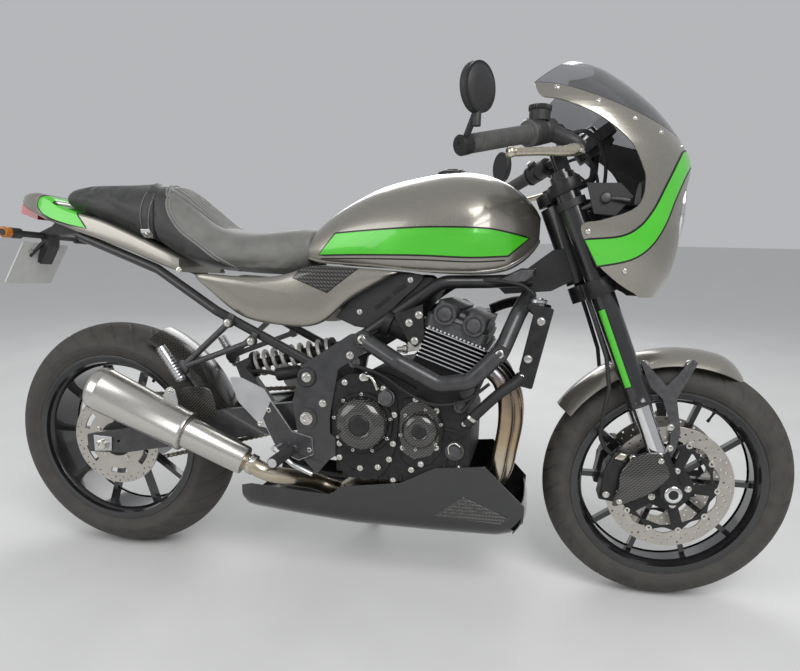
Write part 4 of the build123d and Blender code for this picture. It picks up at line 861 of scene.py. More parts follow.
def stuffed(name, rows, mats, fold, grooves, paint_by, node_name):
    """Padded cover: cells of one size, blown up a little, softened and pressed in along its grooves."""
    rings = [pad_ring(*row) for row in stations(rows, 3)]
    obj = solid(name, [skin(rings)], mats[0], smooth=180, replaces=[node_name])
    cells = obj.modifiers.new("cells", "REMESH")
    cells.mode = "VOXEL"
    cells.voxel_size = 6 * MM
    bake(obj)
    blow_up(obj, fold)
    soft = obj.modifiers.new("soft", "SUBSURF")
    soft.levels = 1
    bake(obj)
    mesh = finished(obj)
    if grooves:
        press_in(obj, mesh, grooves)
    obj.data.materials.clear()
    for mat in mats:
        obj.data.materials.append(mat)
    for face, flat_face in zip(obj.data.polygons, mesh.polygons):
        face.material_index = paint_by(flat_face.center)
        face.use_smooth = True
    return finished(obj)


SEAM = [(210, 990), (209, 964), (207, 935), (216, 905), (247, 866), (298, 832), (341, 802), (387, 775), (392, 700)]


def behind_seam(p):
    """Leather of a seat face: 0 is grey, and 1 is black, behind the seam."""
    for (x0, z0), (x1, z1) in zip(SEAM, SEAM[1:]):
        if z1 <= p.z <= z0:
            line = x0 + (x1 - x0) * (z0 - p.z) / (z0 - z1)
            return int(p.x < line - (20 * (1 - abs(p.y) / 118) if p.z > 950 else 0))
    return 0


RIBS = [[(x, k / 4 * (84 - 0.12 * (x - 210))) for x in range(212, 352, 7)] for k in range(-4, 5)]
LEATHERS = [hide_grey, hide_black]
seat_skin = stuffed("rider_seat_cover", RIDER_SEAT, LEATHERS, 7, RIBS, behind_seam, "rider_seat")
pad_skin = stuffed("rear_seat_cover", REAR_PAD, [hide_black], 7, [], lambda p: 0, "rear_pad")


def over_seat(mesh, side_places, top_places, lift):
    """Line over a seat from its right lower edge across the top to the left."""
    right = drape(mesh, side_places, -1, lift)
    middle = drape(mesh, top_places, 0, lift)
    left = drape(mesh, side_places, 1, lift)
    return right + middle + left[::-1]


SEAM_SIDE = [(384, 778), (341, 803), (298, 833), (247, 867), (217, 905), (208, 935), (209, 952)]
SEAM_TOP = [(205, -100), (197, -80), (190, -50), (187, -20), (187, 20), (190, 50), (197, 80), (205, 100)]
for count, step in enumerate((0, 7)):
    route = over_seat(
        seat_skin, [(x + step, z + step * 0.6) for x, z in SEAM_SIDE], [(x + step, y) for x, y in SEAM_TOP], 0.6
    )
    solid("seat_piping_%d" % count, [pipe([p for p, _ in route], 2.1, 8, 4)], stitching)


def strap(route, width, thick):
    """Flat band along (point, normal) pairs, its width along the machine."""
    rings = []
    for i, (p, n) in enumerate(route):
        after, before = route[min(i + 1, len(route) - 1)][0], route[max(i - 1, 0)][0]
        wide = (after - before).normalized().cross(n).normalized() * width / 2
        rings.append([
            p - wide, p - wide * 0.8 + n * thick, p + wide * 0.8 + n * thick, p + wide, p + wide * 0.8 - n,
            p - wide * 0.8 - n
        ])
    return skin(rings)


STRAP_SIDE = [(153, 862), (152, 880), (153, 904), (156, 925), (160, 942), (164, 956)]
STRAP_TOP = [(166, y) for y in (-98, -80, -60, -40, -20, 0, 20, 40, 60, 80, 98)]
strap_route = over_seat(pad_skin, STRAP_SIDE, STRAP_TOP, 1.0)
solid("seat_strap", [strap(strap_route, 28, 3)], hide_black, smooth=60)
for count, step in enumerate((-11, 11)):
    route = over_seat(pad_skin, [(x + step, z) for x, z in STRAP_SIDE], [(x + step, y) for x, y in STRAP_TOP], 4.4)
    solid("strap_stitching_%d" % count, [pipe([p for p, _ in route], 0.8, 6, 2)], stitching)
BUCKLE = [(-12, -13), (12, -13), (15, 0), (12, 13), (-12, 13), (-15, 0)]
buckles = []
for side in SIDES:
    p, n = drape(pad_skin, [(154, 864)], side, 4)[0]
    buckles.append(slab(p, AHEAD, n.cross(AHEAD).normalized(), n, BUCKLE, (0, 3)))
    buckles.append(turned(p + n * 3, n, [(0, 0), (0, 5), (3, 4), (4, 0)], 16))
solid("strap_buckles", buckles, chrome, bevel=0.8)

# Tail rows as in box_ring
COWL = [
    (-250, 938, 952, 30, 26, 6, 7), (-236, 928, 956, 48, 42, 8, 10), (-205, 914, 959, 68, 62, 10, 12),
    (-170, 900, 958, 84, 76, 10, 14), (-130, 886, 946, 91, 84, 10, 14), (-100, 877, 926, 95, 90, 10, 12),
    (-50, 862, 909, 100, 98, 10, 8), (20, 842, 892, 106, 104, 10, 8), (100, 818, 863, 113, 112, 10, 8),
    (164, 795, 837, 119, 118, 10, 8), (205, 781, 820, 122, 121, 10, 8), (240, 770, 804, 122, 121, 10, 8)
]
cowl_rings = [box_ring(*row) for row in stations(COWL)]
cowl = solid("tail_shell", [skin(cowl_rings)], paint_grey, smooth=50, replaces=["tail_cowl"])
cowl_skin = finished(cowl)
PATCH = flat([(-166, 923), (-161, 943), (-134, 950), (-112, 944)])
PATCH += flat([(-122, 932), (-108, 926), (-60, 918), (-42, 898), (-22, 871)])
PATCH += flat([(-70, 880), (-117, 892), (-150, 906)])
region("tail_patch_edge", cowl_skin, grown(PATCH, 3.5), 0.5, line_black)
region("tail_patch", cowl_skin, PATCH, 0.9, paint_green)

PANEL = [
    (290, 766), (330, 724), (393, 677), (440, 660), (483, 654), (540, 650), (585, 653), (623, 670), (672, 713),
    (732, 750), (778, 776)
]
PANEL += [(790, 786), (700, 792), (598, 794), (500, 768), (410, 764)]
panels = pillows(flat(PANEL, 4, True), 122, 143, 6)
panel = solid("side_panel_shells", panels, paint_grey, smooth=60, replaces=["side_panels"])
panel_skin = finished(panel)
CARBON = [(566, 793), (700, 789), (628, 735), (545, 765)]


def outer_face(centre):
    return abs(centre.y) > 130


region("panel_inlay_edge", panel_skin, grown(CARBON, 3), 0.6, line_black, keep=outer_face)
region("panel_inlay", panel_skin, CARBON, 1.1, weave_fine, keep=outer_face)

# Wheels

RIM_SEAT = 223


def wheel_spot(axle, turn, across, radius):
    """Point round an axle. The turn is in radians."""
    return axle + Vector((math.cos(turn) * radius, across, math.sin(turn) * radius))


def on_wheel(axle, across, radius, degrees):
    return wheel_spot(axle, math.radians(degrees), across, radius)


def tyre_mesh(axle, radius, width, crown, bead_half, count, slots, start, lean):
    """Tyre with cut sipes: crown arc, shoulders, bulged sidewalls with two fine rings, and beads."""
    half = width / 2
    rows = []
    for k in range(count + 1):
        side = half * (2 * k / count - 1)
        rows.append((side, radius - crown + math.sqrt(crown**2 - side**2), True))
    edge = rows[-1][1]
    walls = []
    for k in range(1, 9):
        t = k / 9
        bulge = 3.5 * math.sin(math.pi * t) + (0.9 if k in (3, 6) else 0)
        walls.append((half + (bead_half - half) * t + bulge, edge + (RIM_SEAT - edge) * t, False))
    walls.append((bead_half, RIM_SEAT, False))
    section = [(-a, b, c) for a, b, c in reversed(walls)] + rows + walls
    steps, n = 640, len(section)
    points = []
    for s in range(steps):
        turn = 2 * math.pi * s / steps
        for across, reach, tread in section:
            depth = 0.0
            if tread and start < abs(across) < half - 3:
                phase = turn * slots / (2 * math.pi) + lean * ((abs(across) - start) / half) ** 1.4
                phase += 0.5 if across > 0 else 0
                gap = abs(phase - round(phase)) * 2 * math.pi * radius / slots
                depth = 3.2 * max(0, min(1, (3.4 - gap) / 1.6))
            points.append(wheel_spot(axle, turn, across, reach - depth))
    inside = [(s * n, (s + 1) % steps * n, (s + 1) % steps * n + n - 1, s * n + n - 1) for s in range(steps)]
    return points, quads(steps, n, close_rows=True) + inside


TYRES = (
    ("front", FRONT_AXLE, (299.6, 119.5, 62, 45, 34, 34, 9, 0.9)),
    ("rear", REAR_AXLE, (315.6, 179.5, 100, 68, 44, 30, 14, 1.5)),
)
for name, axle, sizes in TYRES:
    tread = tyre_mesh(axle, *sizes)
    solid(name + "_tyre_tread", [tread], tyre_rubber, name + "_wheel", smooth=50, replaces=[name + "_tyre"])


def axle_plane(axle, across):
    """Matrix for a plane across an axle: X forward, Y up."""
    return Matrix.Translation(axle + Vector((0, across, 0))) @ Matrix(((1, 0, 0), (0, 0, -1), (0, 1, 0))).to_4x4()


def drilled(rows, holes, size):
    """Rings of small holes, each (radius, shift) row turned a little from the last."""
    return [circle(size, 10, polar(r, 360 * (k + part) / holes)) for r, part in rows for k in range(holes)]


def wave(radius, depth, lobes, steps=160):
    turns = [360 * k / steps for k in range(steps)]
    return [polar(radius + depth * math.cos(lobes * math.radians(a)), a) for a in turns]


def fans(count, start, outline):
    """Loops round a centre, each with an outline of (radius, degrees) points."""
    return [[polar(r, 360 / count * k + start + a) for r, a in outline] for k in range(count)]


DISC_HOLES = [(143, 0.0), (134, 0.33), (125.5, 0.66)]
DISC_THICK = 4.6
CARRIER_GAPS = fans(5, 36, ((58, -24), (97, -28), (99, -14), (99, 14), (97, 28), (58, 24), (55, 0)))
BUTTON = [(0, 0), (0, 8.5), (8.5, 8.5), (9.5, 7.5), (9.5, 3.4), (7, 3.4), (7, 0)]
HUB_FACE = [(0, 34), (0, 50), (4, 50), (12, 40), (14, 30), (14, 22), (0, 22)]
for side, tag in zip(SIDES, ("right", "left")):
    out = (0, side, 0)
    loops = [circle(150, 120), wave(114, -3.5, 10)] + drilled(DISC_HOLES, 24, 2.5)
    where = axle_plane(FRONT_AXLE, side * 67)
    instead = ["front_discs"] if side < 0 else ()
    stamp("front_disc_" + tag, loops, DISC_THICK, steel_disc, "front_wheel", where, bevel=0.3, replaces=instead)
    loops = [wave(108, 5, 10), circle(26, 40)] + CARRIER_GAPS
    where = axle_plane(FRONT_AXLE, side * 68.5)
    stamp("front_carrier_" + tag, loops, 7, satin_black, "front_wheel", where, bevel=1.0)
    buttons = [turned(on_wheel(FRONT_AXLE, side * 64, 112, 36 * k), out, BUTTON, 24) for k in range(10)]
    solid("front_buttons_" + tag, buttons, bolt_steel, "front_wheel", smooth=45)
    hub_bolts = [bolt(on_wheel(FRONT_AXLE, side * 72, 45, 72 * k), out, 6, 4) for k in range(5)]
    solid("front_hub_bolts_" + tag, hub_bolts, bolt_steel, "front_wheel")
    face = turned(FRONT_AXLE + Vector((0, side * 58, 0)), out, HUB_FACE, 48)
    solid("front_hub_face_" + tag, [face], satin_black, "front_wheel", smooth=45)

DISC_SLOTS = fans(6, 15, [(98, t) for t in range(0, 31, 6)] + [(84, t) for t in range(30, -1, -6)])
loops = [circle(125, 110), circle(45, 50)] + drilled([(119, 0.0), (110, 0.5)], 28, 2.4) + DISC_SLOTS
where = axle_plane(REAR_AXLE, -71)
stamp("rear_disc_plate", loops, DISC_THICK, steel_disc, "rear_wheel", where, bevel=0.3, replaces=["rear_disc"])
disc_bolts = [bolt(on_wheel(REAR_AXLE, -73, 58, 72 * k + 10), (0, -1, 0), 6, 4) for k in range(5)]
solid("rear_disc_bolts", disc_bolts, bolt_steel, "rear_wheel")
HUB_FACE = [(0, 34), (0, 52), (10, 50), (14, 42), (14, 20), (0, 20)]
face = turned(REAR_AXLE + Vector((0, -62, 0)), (0, -1, 0), HUB_FACE, 48)
solid("rear_hub_face", [face], satin_black, "rear_wheel", smooth=45)
LIP = [(0, 205.5), (16, 214), (22, 229), (25.5, 231), (26, 229), (24, 222), (17, 212), (1, 203)]
VALVE = [(0, 0), (0, 5), (6, 4), (8, 3), (22, 3), (22, 4), (30, 4), (31, 0)]
for name, axle, half in (("front", FRONT_AXLE, 45), ("rear", REAR_AXLE, 68)):
    lips = [turned(axle + Vector((0, side * (half - 16), 0)), (0, side, 0), LIP, 120) for side in SIDES]
    solid(name + "_rim_lips", lips, paint_black, name + "_wheel", smooth=50)
    foot = on_wheel(axle, -10, 206, 62)
    solid(name + "_valve", [turned(foot, axle - foot, VALVE, 14)], rubber, name + "_wheel")

# Sprocket and chain on the left

CHAIN_SIDE, LINK, TEETH = 103, 15.875, 42
TOOTH = (90, 88.5, 84.5, 88.5)
edge = [polar(TOOTH[k % 4], 90 * k / TEETH) for k in range(TEETH * 4)]
windows = fans(6, 0, ((74, -18), (76, -6), (76, 6), (74, 18), (56, 20), (54, 0), (56, -20)))
where = axle_plane(REAR_AXLE, CHAIN_SIDE)
stamp("sprocket_plate", [edge, circle(40, 40)] + windows, 4.5, alloy, "rear_wheel", where, bevel=0.4)
nuts = [bolt(on_wheel(REAR_AXLE, CHAIN_SIDE + 2, 47, 60 * k + 30), (0, 1, 0), 6, 5) for k in range(6)]
solid("sprocket_nuts", nuts, bolt_steel, "rear_wheel")

SHAFT = Vector((655, 0, 440))
REAR_PITCH, FRONT_PITCH = 98, 40
span = SHAFT - REAR_AXLE
rise = math.atan2(span.z, span.x)
tilt = math.atan2(REAR_PITCH - FRONT_PITCH, math.hypot(span.x, span.z))
path = []
for centre, radius, start, turn, steps in (
    (REAR_AXLE, REAR_PITCH, rise + math.pi / 2 - tilt, math.pi + 2 * tilt, 40),
    (SHAFT, FRONT_PITCH, rise - math.pi / 2 + tilt, math.pi - 2 * tilt, 24),
):
    path += [wheel_spot(centre, start + turn * k / steps, 0, radius) for k in range(steps + 1)]
path.append(path[0])
lengths = [0.0]
for p, q in zip(path, path[1:]):
    lengths.append(lengths[-1] + (q - p).length)
links = 2 * round(lengths[-1] / LINK / 2)


def along_path(share):
    want = share * lengths[-1]
    i = max(k for k in range(len(path) - 1) if lengths[k] <= want)
    return path[i].lerp(path[i + 1], (want - lengths[i]) / (lengths[i + 1] - lengths[i]))


ROLLER = [(0, 0), (0, 2.4), (4.5, 2.4), (4.5, 4.8), (10.5, 4.8), (10.5, 2.4), (15, 2.4), (15, 0)]
LINK_END, LINK_WAIST = 6.2, 4.4
pins = [along_path(k / links) for k in range(links)]
plates, rollers = [], []
for k, p in enumerate(pins):
    q = pins[(k + 1) % links]
    run = (q - p).normalized()
    up = Vector((-run.z, 0, run.x))
    outline = []
    for centre, start, waist in ((q, -90, LINK_WAIST), (p, 90, -LINK_WAIST)):
        for a in (math.radians(start + 45 * step) for step in range(5)):
            outline.append(centre + (run * math.cos(a) + up * math.sin(a)) * LINK_END)
        outline.append((p + q) / 2 + up * waist)
    for side in SIDES:
        near = CHAIN_SIDE + side * (6.6 if k % 2 else 4.4)
        plates.append(skin([[s + Vector((0, near + side * y, 0)) for s in outline] for y in (-0.8, 0.8)]))
    rollers.append(turned(p + Vector((0, CHAIN_SIDE - 7.5, 0)), (0, 1, 0), ROLLER, 8))
solid("chain_links", plates, chain_steel, smooth=30, replaces=["chain"])
solid("chain_rollers", rollers, bolt_steel, smooth=45)

# Fork, brakes and fender

LEG_AHEAD, LEG_SIDE, TUBE_RADIUS = 30, 105, 27
ON_LEGS = (
    ("fork_sleeves", 96, [(0, 21), (137, 21), (137, 20), (0, 20)], chrome),
    (
        "fork_seals", 222, [(0, 20.5), (0, 27.5), (3, 28.6), (12, 28.6), (14, 27.3), (30, 27.3), (30, 20.5)],
        paint_black
    ),
    ("fork_seat_rings", 94, [(0, 20), (0, 25), (3, 26), (8, 25), (9, 21)], alloy),
)
for name, height, profile, mat in ON_LEGS:
    rings = [turned(on_fork(LEG_AHEAD, side * LEG_SIDE, height), STEER_UP, profile, 40) for side in SIDES]
    solid(name, rings, mat, "steering", smooth=50)
AXLE_RING = [(0, 10), (0, 20), (5, 20), (6.5, 18), (6.5, 11.5), (1, 10.5), (1, 10)]
axle_rings = [turned(FRONT_AXLE + Vector((0, side * 129, 0)), (0, side, 0), AXLE_RING, 40) for side in SIDES]
solid("axle_rings", axle_rings, chrome, "steering", smooth=40)
FOOT_COVER = [
    (1378, 388), (1420, 398), (1440, 372), (1452, 345), (1436, 322), (1414, 300), (1380, 280), (1342, 262)
]
FOOT_COVER += [(1330, 266), (1341, 305), (1341, 339), (1356, 368)]
covers = pillows(flat(FOOT_COVER, 3, True), 129.2, 134, 4)
solid("fork_foot_covers", covers, weave_cover, "steering", smooth=60)
solid("foot_cover_bolts", side_bolts(136, 5, 4, ((1345, 274), (1428, 380))), bolt_steel, "steering")
CALIPER = [(1302, 273), (1342, 266), (1362, 300), (1364, 362), (1352, 388), (1326, 386), (1306, 340)]
solid("caliper_bodies", pillows(CALIPER, 100, 110, 5), satin_black, "steering", smooth=45, bevel=1.2)
CALIPER_CAP = [(1325, 372), (1338, 388), (1356, 384), (1352, 366)]
solid("caliper_caps", pillows(CALIPER_CAP, 109, 116, 2), lever_gold, "steering", smooth=45)
brake_bolts = side_bolts(112, 6, 4, ((1316, 282), (1346, 290))) + side_bolts(104, 7, 6, ((1366, 282), (1370, 374)))
solid("caliper_bolts", brake_bolts, bolt_steel, "steering")
STAY_CAP = [(0, 0), (0, 11), (4, 11), (8, 8), (10, 4), (10, 0)]
stay_bolts = side_bolts(91, 6, 4, ((1448, 452), (1452, 402)))
for side in SIDES:
    stay_bolts += [turned((x, side * 74, z), (0, side, 0.35), STAY_CAP, 20) for x, z in ((1376, 592), (1476, 598))]
solid("stay_bolts", stay_bolts, bolt_steel, "steering")

FENDER_HALF, FENDER_LIP, FENDER_TOP, FENDER_WALL = 70, 293, 331, 3


def fender_row(turn, taper):
    """Row across a fender, out along its top and back along its underside."""
    half = FENDER_HALF * taper
    drop = (FENDER_TOP - FENDER_LIP) * taper
    bend = (half**2 + drop**2) / (2 * drop)
    reach = math.asin(min(half / bend, 1))
    angles = [reach * (2 * k / 28 - 1) for k in range(29)]
    row = []
    for r, way in ((bend, angles), (bend - FENDER_WALL, angles[::-1])):
        across_up = [(r * math.sin(a), FENDER_LIP + drop - bend + r * math.cos(a)) for a in way]
        row += [wheel_spot(FRONT_AXLE, turn, y, up) for y, up in across_up]
    return row


fender = []
for k in range(71):
    taper = min(1.0, 0.3 + 0.7 * math.sin(min(k, 12) / 12 * math.pi / 2))
    fender.append(fender_row(math.radians(60.5 + 86.5 * k / 70), taper))
solid("front_fender_shell", [skin(fender)], paint_grey, "steering", smooth=60, replaces=["front_fender"])

# Engine

FACE = 150.3
COVERS = [(722, 427, 76, 48, -1), (866, 420, 56, 36, -1), (866, 420, 74, 62, 1), (696, 440, 46, 26, 1)]
domes, flanges, cover_screws, centres = [], [], [], []
for x, z, radius, depth, side in COVERS:
    spot, out = Vector((x, side * FACE, z)), (0, side, 0)
    flange = [
        (0, 0), (0, radius), (0.22 * depth, radius), (0.27 * depth, radius - 1.5), (0.27 * depth, radius - 10)
    ]
    flanges.append(turned(spot, out, flange + [(0.1 * depth, radius - 11), (0.1 * depth, 0)], 72))
    rim = radius - 11
    dome = [(0.2 * depth, rim), (0.55 * depth, rim - 1), (0.72 * depth, rim - 4), (0.86 * depth, rim * 0.82)]
    dome += [(0.95 * depth, rim * 0.62), (0.985 * depth, rim * 0.44), (0.93 * depth, rim * 0.4), (0.93 * depth, 0)]
    domes.append(turned(spot, out, dome, 72))
    centre = [(0.93 * depth, rim * 0.4), (0.97 * depth, rim * 0.38), (0.99 * depth, rim * 0.3), (0.97 * depth, 0)]
    centres.append(turned(spot, out, centre, 48))
    count = 9 if radius > 60 else 6
    for k in range(count):
        u, v = polar(radius - 5, 360 * (k + 0.3) / count)
        cover_screws.append(bolt(spot + Vector((u, side * 0.22 * depth, v)), out, 4, 4))
solid("cover_flanges", flanges, cast_black, smooth=40, replaces=["side_covers"])
solid("cover_domes", domes, weave_cover, smooth=60)
solid("cover_centres", centres, satin_black, smooth=60)
solid("cover_screws", cover_screws, bolt_steel)

FIN_FIRST, FIN_LAST, FIN_CORNER = 172, 237.8, 10
FIN_REAR, FIN_AHEAD, FIN_HALF = -56 + FIN_CORNER, 92 - FIN_CORNER, 184 - FIN_CORNER
FIN_CORNERS = ((FIN_AHEAD, FIN_HALF), (FIN_REAR, FIN_HALF), (FIN_REAR, -FIN_HALF), (FIN_AHEAD, -FIN_HALF))
fin = [polar(FIN_CORNER + 0.4, 90 * i + 22.5 * k, at) for i, at in enumerate(FIN_CORNERS) for k in range(5)]
fin_edges = []
for count in range(8):
    level = FIN_FIRST + count * (FIN_LAST - FIN_FIRST) / 7 + 0.3
    rings = []
    for h, r in ((0, 0), (2.6, 0), (2.6, 3.6), (0, 3.6)):
        rings.append([on_engine(u + math.copysign(r, u - 18), v + math.copysign(r, v), level + h) for u, v in fin])
    fin_edges.append(skin(rings + [rings[0]], caps=False))
solid("fin_edges", fin_edges, alloy, smooth=40)
BEAD = [(0, 0), (0, 3.4), (4, 3), (5, 1.5), (5, 0)]
bead_spots = [on_engine(-50 + k * 9.6, side * 181, 241.5) for side in SIDES for k in range(15)]
solid("gasket_beads", [turned(p, ENGINE_UP, BEAD, 10) for p in bead_spots], alloy)
HEAD_CAP = [(0, 0), (0, 26), (3, 26), (5, 24), (5, 20), (3, 19), (3, 17), (8, 15), (9, 10), (9, 0)]
CAP_SLOT = ((-13, -2), (13, -2), (13, 2), (-13, 2))
head_caps = []
for ahead in (-26, 44):
    for side in SIDES:
        p, out = on_engine(ahead, side * 190, 283), Vector((0, side, 0))
        head_caps.append(turned(p, out, HEAD_CAP, 40))
        head_caps.append(slab(p + out * 9, ENGINE_AHEAD, ENGINE_UP, out, CAP_SLOT, (0, 1.6)))
solid("head_caps", head_caps, cast_grey, smooth=40)
lids = []
for level, rear, front, half in ((271, -62, 78, 168), (285, -50, 66, 150)):
    right = [(rear, -half + 20), (rear + 16, -half), (front - 16, -half), (front, -half + 20)]
    outline = right + [(u, -v) for u, v in right[::-1]]
    steps = ((0, 1), (9.8, 0.98), (14, 0.93))
    lids.append(skin([[on_engine(u * s, v * s, level + h) for u, v in outline] for h, s in steps]))
solid("head_lid", lids, cast_grey, smooth=40, bevel=2.5)

# Exhaust

CAN_FRONT, CAN_REAR = Vector((434, -200, 320)), Vector((52, -226, 491))
CAN_RUN = (CAN_REAR - CAN_FRONT).normalized()
CAN_LENGTH = (CAN_REAR - CAN_FRONT).length
can = [(0, 22), (0.5, 35), (3, 37), (158, 40.5), (160.5, 42), (161, 48), (163, 51), (167, 52), (171, 51), (173, 50)]
can += [(300, 54), (388, 56), (389.5, 56.6), (392, 56.6), (393.5, 56)]
can += [
    (CAN_LENGTH + back, r) for back,
    r in ((-14, 55.4), (-6, 52.5), (-1, 47), (0, 44), (0, 32), (-3, 30), (-60, 30), (-60, 0))
]
solid("silencer_can", [turned(CAN_FRONT, CAN_RUN, can, 96)], can_steel, smooth=40, replaces=["muffler"])
weld = turned(CAN_FRONT, CAN_RUN, [(157, 40), (157.5, 42), (160.5, 43.5), (162, 43)], 96)
solid("silencer_weld", [weld], chain_steel, smooth=50)
LUG = [(220, 452), (262, 434), (264, 462), (256, 488), (246, 496), (236, 492), (226, 474)]
solid("silencer_lug", [board(LUG, -207, -201)], alloy, smooth=40, bevel=1.2)
solid("silencer_bolt", side_bolts(207, 6, 5, [(247, 484)], (-1,)), bolt_steel)
flanges = []
for side in (-126, -46, 46, 126):
    root, knee = Vector((1009.1, side, 575.8)), Vector((1072, side, 520))
    run = (knee - root).normalized()
    flanges.append(turned(root + run * 2, run, [(0, 19), (0, 29), (7, 29), (8, 27), (8, 19.2)], 40))
    flanges += [bolt(root + run * 8 + Vector((0, up * 27, 0)), run, 5, 8) for up in SIDES]
solid("header_flanges", flanges, cast_grey, smooth=40)
header_pipes = []
for side, under, ahead in ((-126, -66, 0), (-46, -24, 22), (46, 24, 22), (126, 66, 0)):
    route = [
        (1009.1, side, 575.8), (1044 + ahead / 4, side, 547), (1062 + ahead * 0.7, side, 500),
        (1066 + ahead, side * 0.98, 440)
    ]
    route += [
        (1058 + ahead, side * 0.94, 370), (1048 + ahead * 0.9, side * 0.7 + under * 0.3, 300),
        (1022 + ahead / 2, under * 1.15, 240)
    ]
    route += [(975, under, 209), (900, under, 205), (770, under, 205)]
    header_pipes.append(pipe(route, 18.6, 24, 6))
collector = [
    (785, 16, 62, 30), (770, 16, 78, 38), (740, 20, 84, 41), (680, 20, 84, 41), (655, 30, 60, 34), (640, 44, 34, 26)
]
box = []
for x, off, wide, high in collector:
    ring = [[math.copysign(abs(c) ** 0.6, c) for c in p] for p in circle(1)]
    box.append([Vector((x, -off + wide * c, 211 + high * s)) for c, s in ring])
header_pipes.append(skin(box))
OUTLET = [(650, -46, 212), (612, -66, 228), (572, -90, 248), CAN_FRONT - CAN_RUN * 70, CAN_FRONT + CAN_RUN * 3]
header_pipes.append(pipe(OUTLET, 21.6, 28))
solid("header_pipes", header_pipes, pipe_steel, smooth=60, replaces=["headers"])
clamp = [turned(CAN_FRONT - CAN_RUN * 26, CAN_RUN, [(0, 22.2), (0, 26), (14, 26), (14, 22.2)], 48)]
clamp.append(bolt(CAN_FRONT - CAN_RUN * 19 + Vector((0, -20, 18)), (0, -1, 0.3), 4, 12))
solid("outlet_clamp", clamp, bolt_steel)

# Shock with its spring

EYE = Vector((362, -20, 532))
SHOCK_TOP = Vector((674, -20, 600))
SHOCK_RUN = (SHOCK_TOP - EYE).normalized()
SHOCK_LENGTH = (SHOCK_TOP - EYE).length
COIL_TURNS, COIL_STEPS = 8.5, 16
side_a = SHOCK_RUN.orthogonal().normalized()
side_b = SHOCK_RUN.cross(side_a)
coil = []
for k in range(int(COIL_TURNS * COIL_STEPS) + 1):
    u, v = polar(29.5, 360 * k / COIL_STEPS)
    coil.append(EYE + SHOCK_RUN * (36 + 212 * k / (COIL_TURNS * COIL_STEPS)) + side_a * u + side_b * v)
solid("shock_spring", [pipe(coil, 5.2, 10, 2)], spring_grey, smooth=60)
damper = [
    (18, 0), (18, 19), (26, 19), (26, 33), (33, 34), (36, 30), (36, 12), (140, 12), (140, 19), (246, 19), (246, 30)
]
damper += [
    (249, 34), (256, 33), (256, 20), (290, 20), (296, 15), (SHOCK_LENGTH - 13.5, 13), (SHOCK_LENGTH - 13.5, 0)
]
solid("shock_damper", [turned(EYE, SHOCK_RUN, damper, 40)], satin_black, smooth=40, replaces=["shock"])
KNOB = [(0, 0), (0, 15), (3, 17), (60, 17), (63, 15), (63, 11), (70, 10), (70, 0)]
solid("shock_knob", [turned((470, -66, 520), (1, 0, 0.2), KNOB, 32)], plastic, smooth=40)
hose = pipe([(472, -66, 520), (430, -72, 528), (400, -60, 524), (376, -34, 530)], 5, 10)
solid("shock_hose", [hose], rubber, smooth=60)

# Hangers, pegs, heel plates and axle blocks

EYE_BOSS = [(0, 0), (0, 12), (14, 12), (16, 10), (16, 0)]
ROOT_BOSS = [(0, 0), (0, 18), (14, 18), (18, 13), (18, 0)]
PEG = [(0, 0), (0, 9)] + ribbed(6, 8, 11, (0, 4, 4.6, 7.4), 13.4, 12.2) + [(96, 12), (97, 0)]
HANGER_EYES = ((379, 653), (438, 611))
hanger_bars, pegs = [], []
for side in SIDES:
    root, out = Vector((249, side * 151.5, 537)), (0, side, 0)
    for x, z in HANGER_EYES:
        end = Vector((x, side * 151.5, z))
        hanger_bars.append(pipe([root, root.lerp(end, 0.3), root.lerp(end, 0.7), end], [9, 6.5, 6, 7], 12, 3))
        hanger_bars.append(turned((x, side * 142.6, z), out, EYE_BOSS, 28))
    hanger_bars.append(turned((249, side * 142.6, 537), out, ROOT_BOSS, 32))
    pegs.append(turned((256, side * 166, 506), (-50, side * 6, 82), PEG, 24))
solid("hanger_bars", hanger_bars, cast_grey, smooth=50)
solid("hanger_bolts", side_bolts(158.6, 6.5, 4, HANGER_EYES), bolt_steel)
solid("passenger_pegs", pegs, alloy, smooth=35)
heel_bolts = side_bolts(166, 6, 4, ((462, 410), (486, 446), (590, 352), (546, 350)))
solid("heel_bolts", heel_bolts, bolt_steel)
PEG_BRACKET = [
    (490, 468), (544, 395), (595, 382.5), (599, 341), (560, 323.5), (506, 346.5), (479.5, 401), (470, 424)
]
solid("peg_brackets", mirrored(board(PEG_BRACKET, -168.2, -165.8)), graphite, bevel=0.8)
ARM_GUARD = [
    (224, 399), (226, 466), (250, 484), (284, 487), (313, 481), (325, 455), (328, 422), (316, 407), (252, 394)
]
solid("arm_guard", [board(flat(ARM_GUARD, 3), -134.6, -132.1)], weave_cover, bevel=0.8)
AXLE_NUT = [(0, 0), (0, 17), (2, 17), (2, 14), (12, 13.5), (13, 12), (13, 6), (9, 6), (9, 0)]
blocks, nuts = [], []
for side, face, corners in ((-1, 132, 24), (1, 142, 6)):
    blocks.append(board([(-26, 296), (24, 300), (28, 338), (-26, 340)], side * face, side * (face + 5)))
    nuts.append(turned((0, side * (face + 5), 316), (0, side, 0), AXLE_NUT, corners))
    nuts.append(bolt((-36, side * (face - 15), 318), (-1, 0, 0), 5, 14))
solid("axle_blocks", blocks, alloy, smooth=40, bevel=1.2)
solid("axle_nuts", nuts, bolt_steel, smooth=35)
PEG_RUBBER = [(0, 0), (0, 14)] + ribbed(6, 8, 12, (0, 4, 5, 7), 14.2, 12.6) + [(104, 13), (106, 10), (106, 0)]
peg_rubbers = [turned((543, side * 180, 349), (-5, side * 106, -5), PEG_RUBBER, 24) for side in SIDES]
solid("rider_peg_rubbers", peg_rubbers, rubber, smooth=35)

# Frame fittings

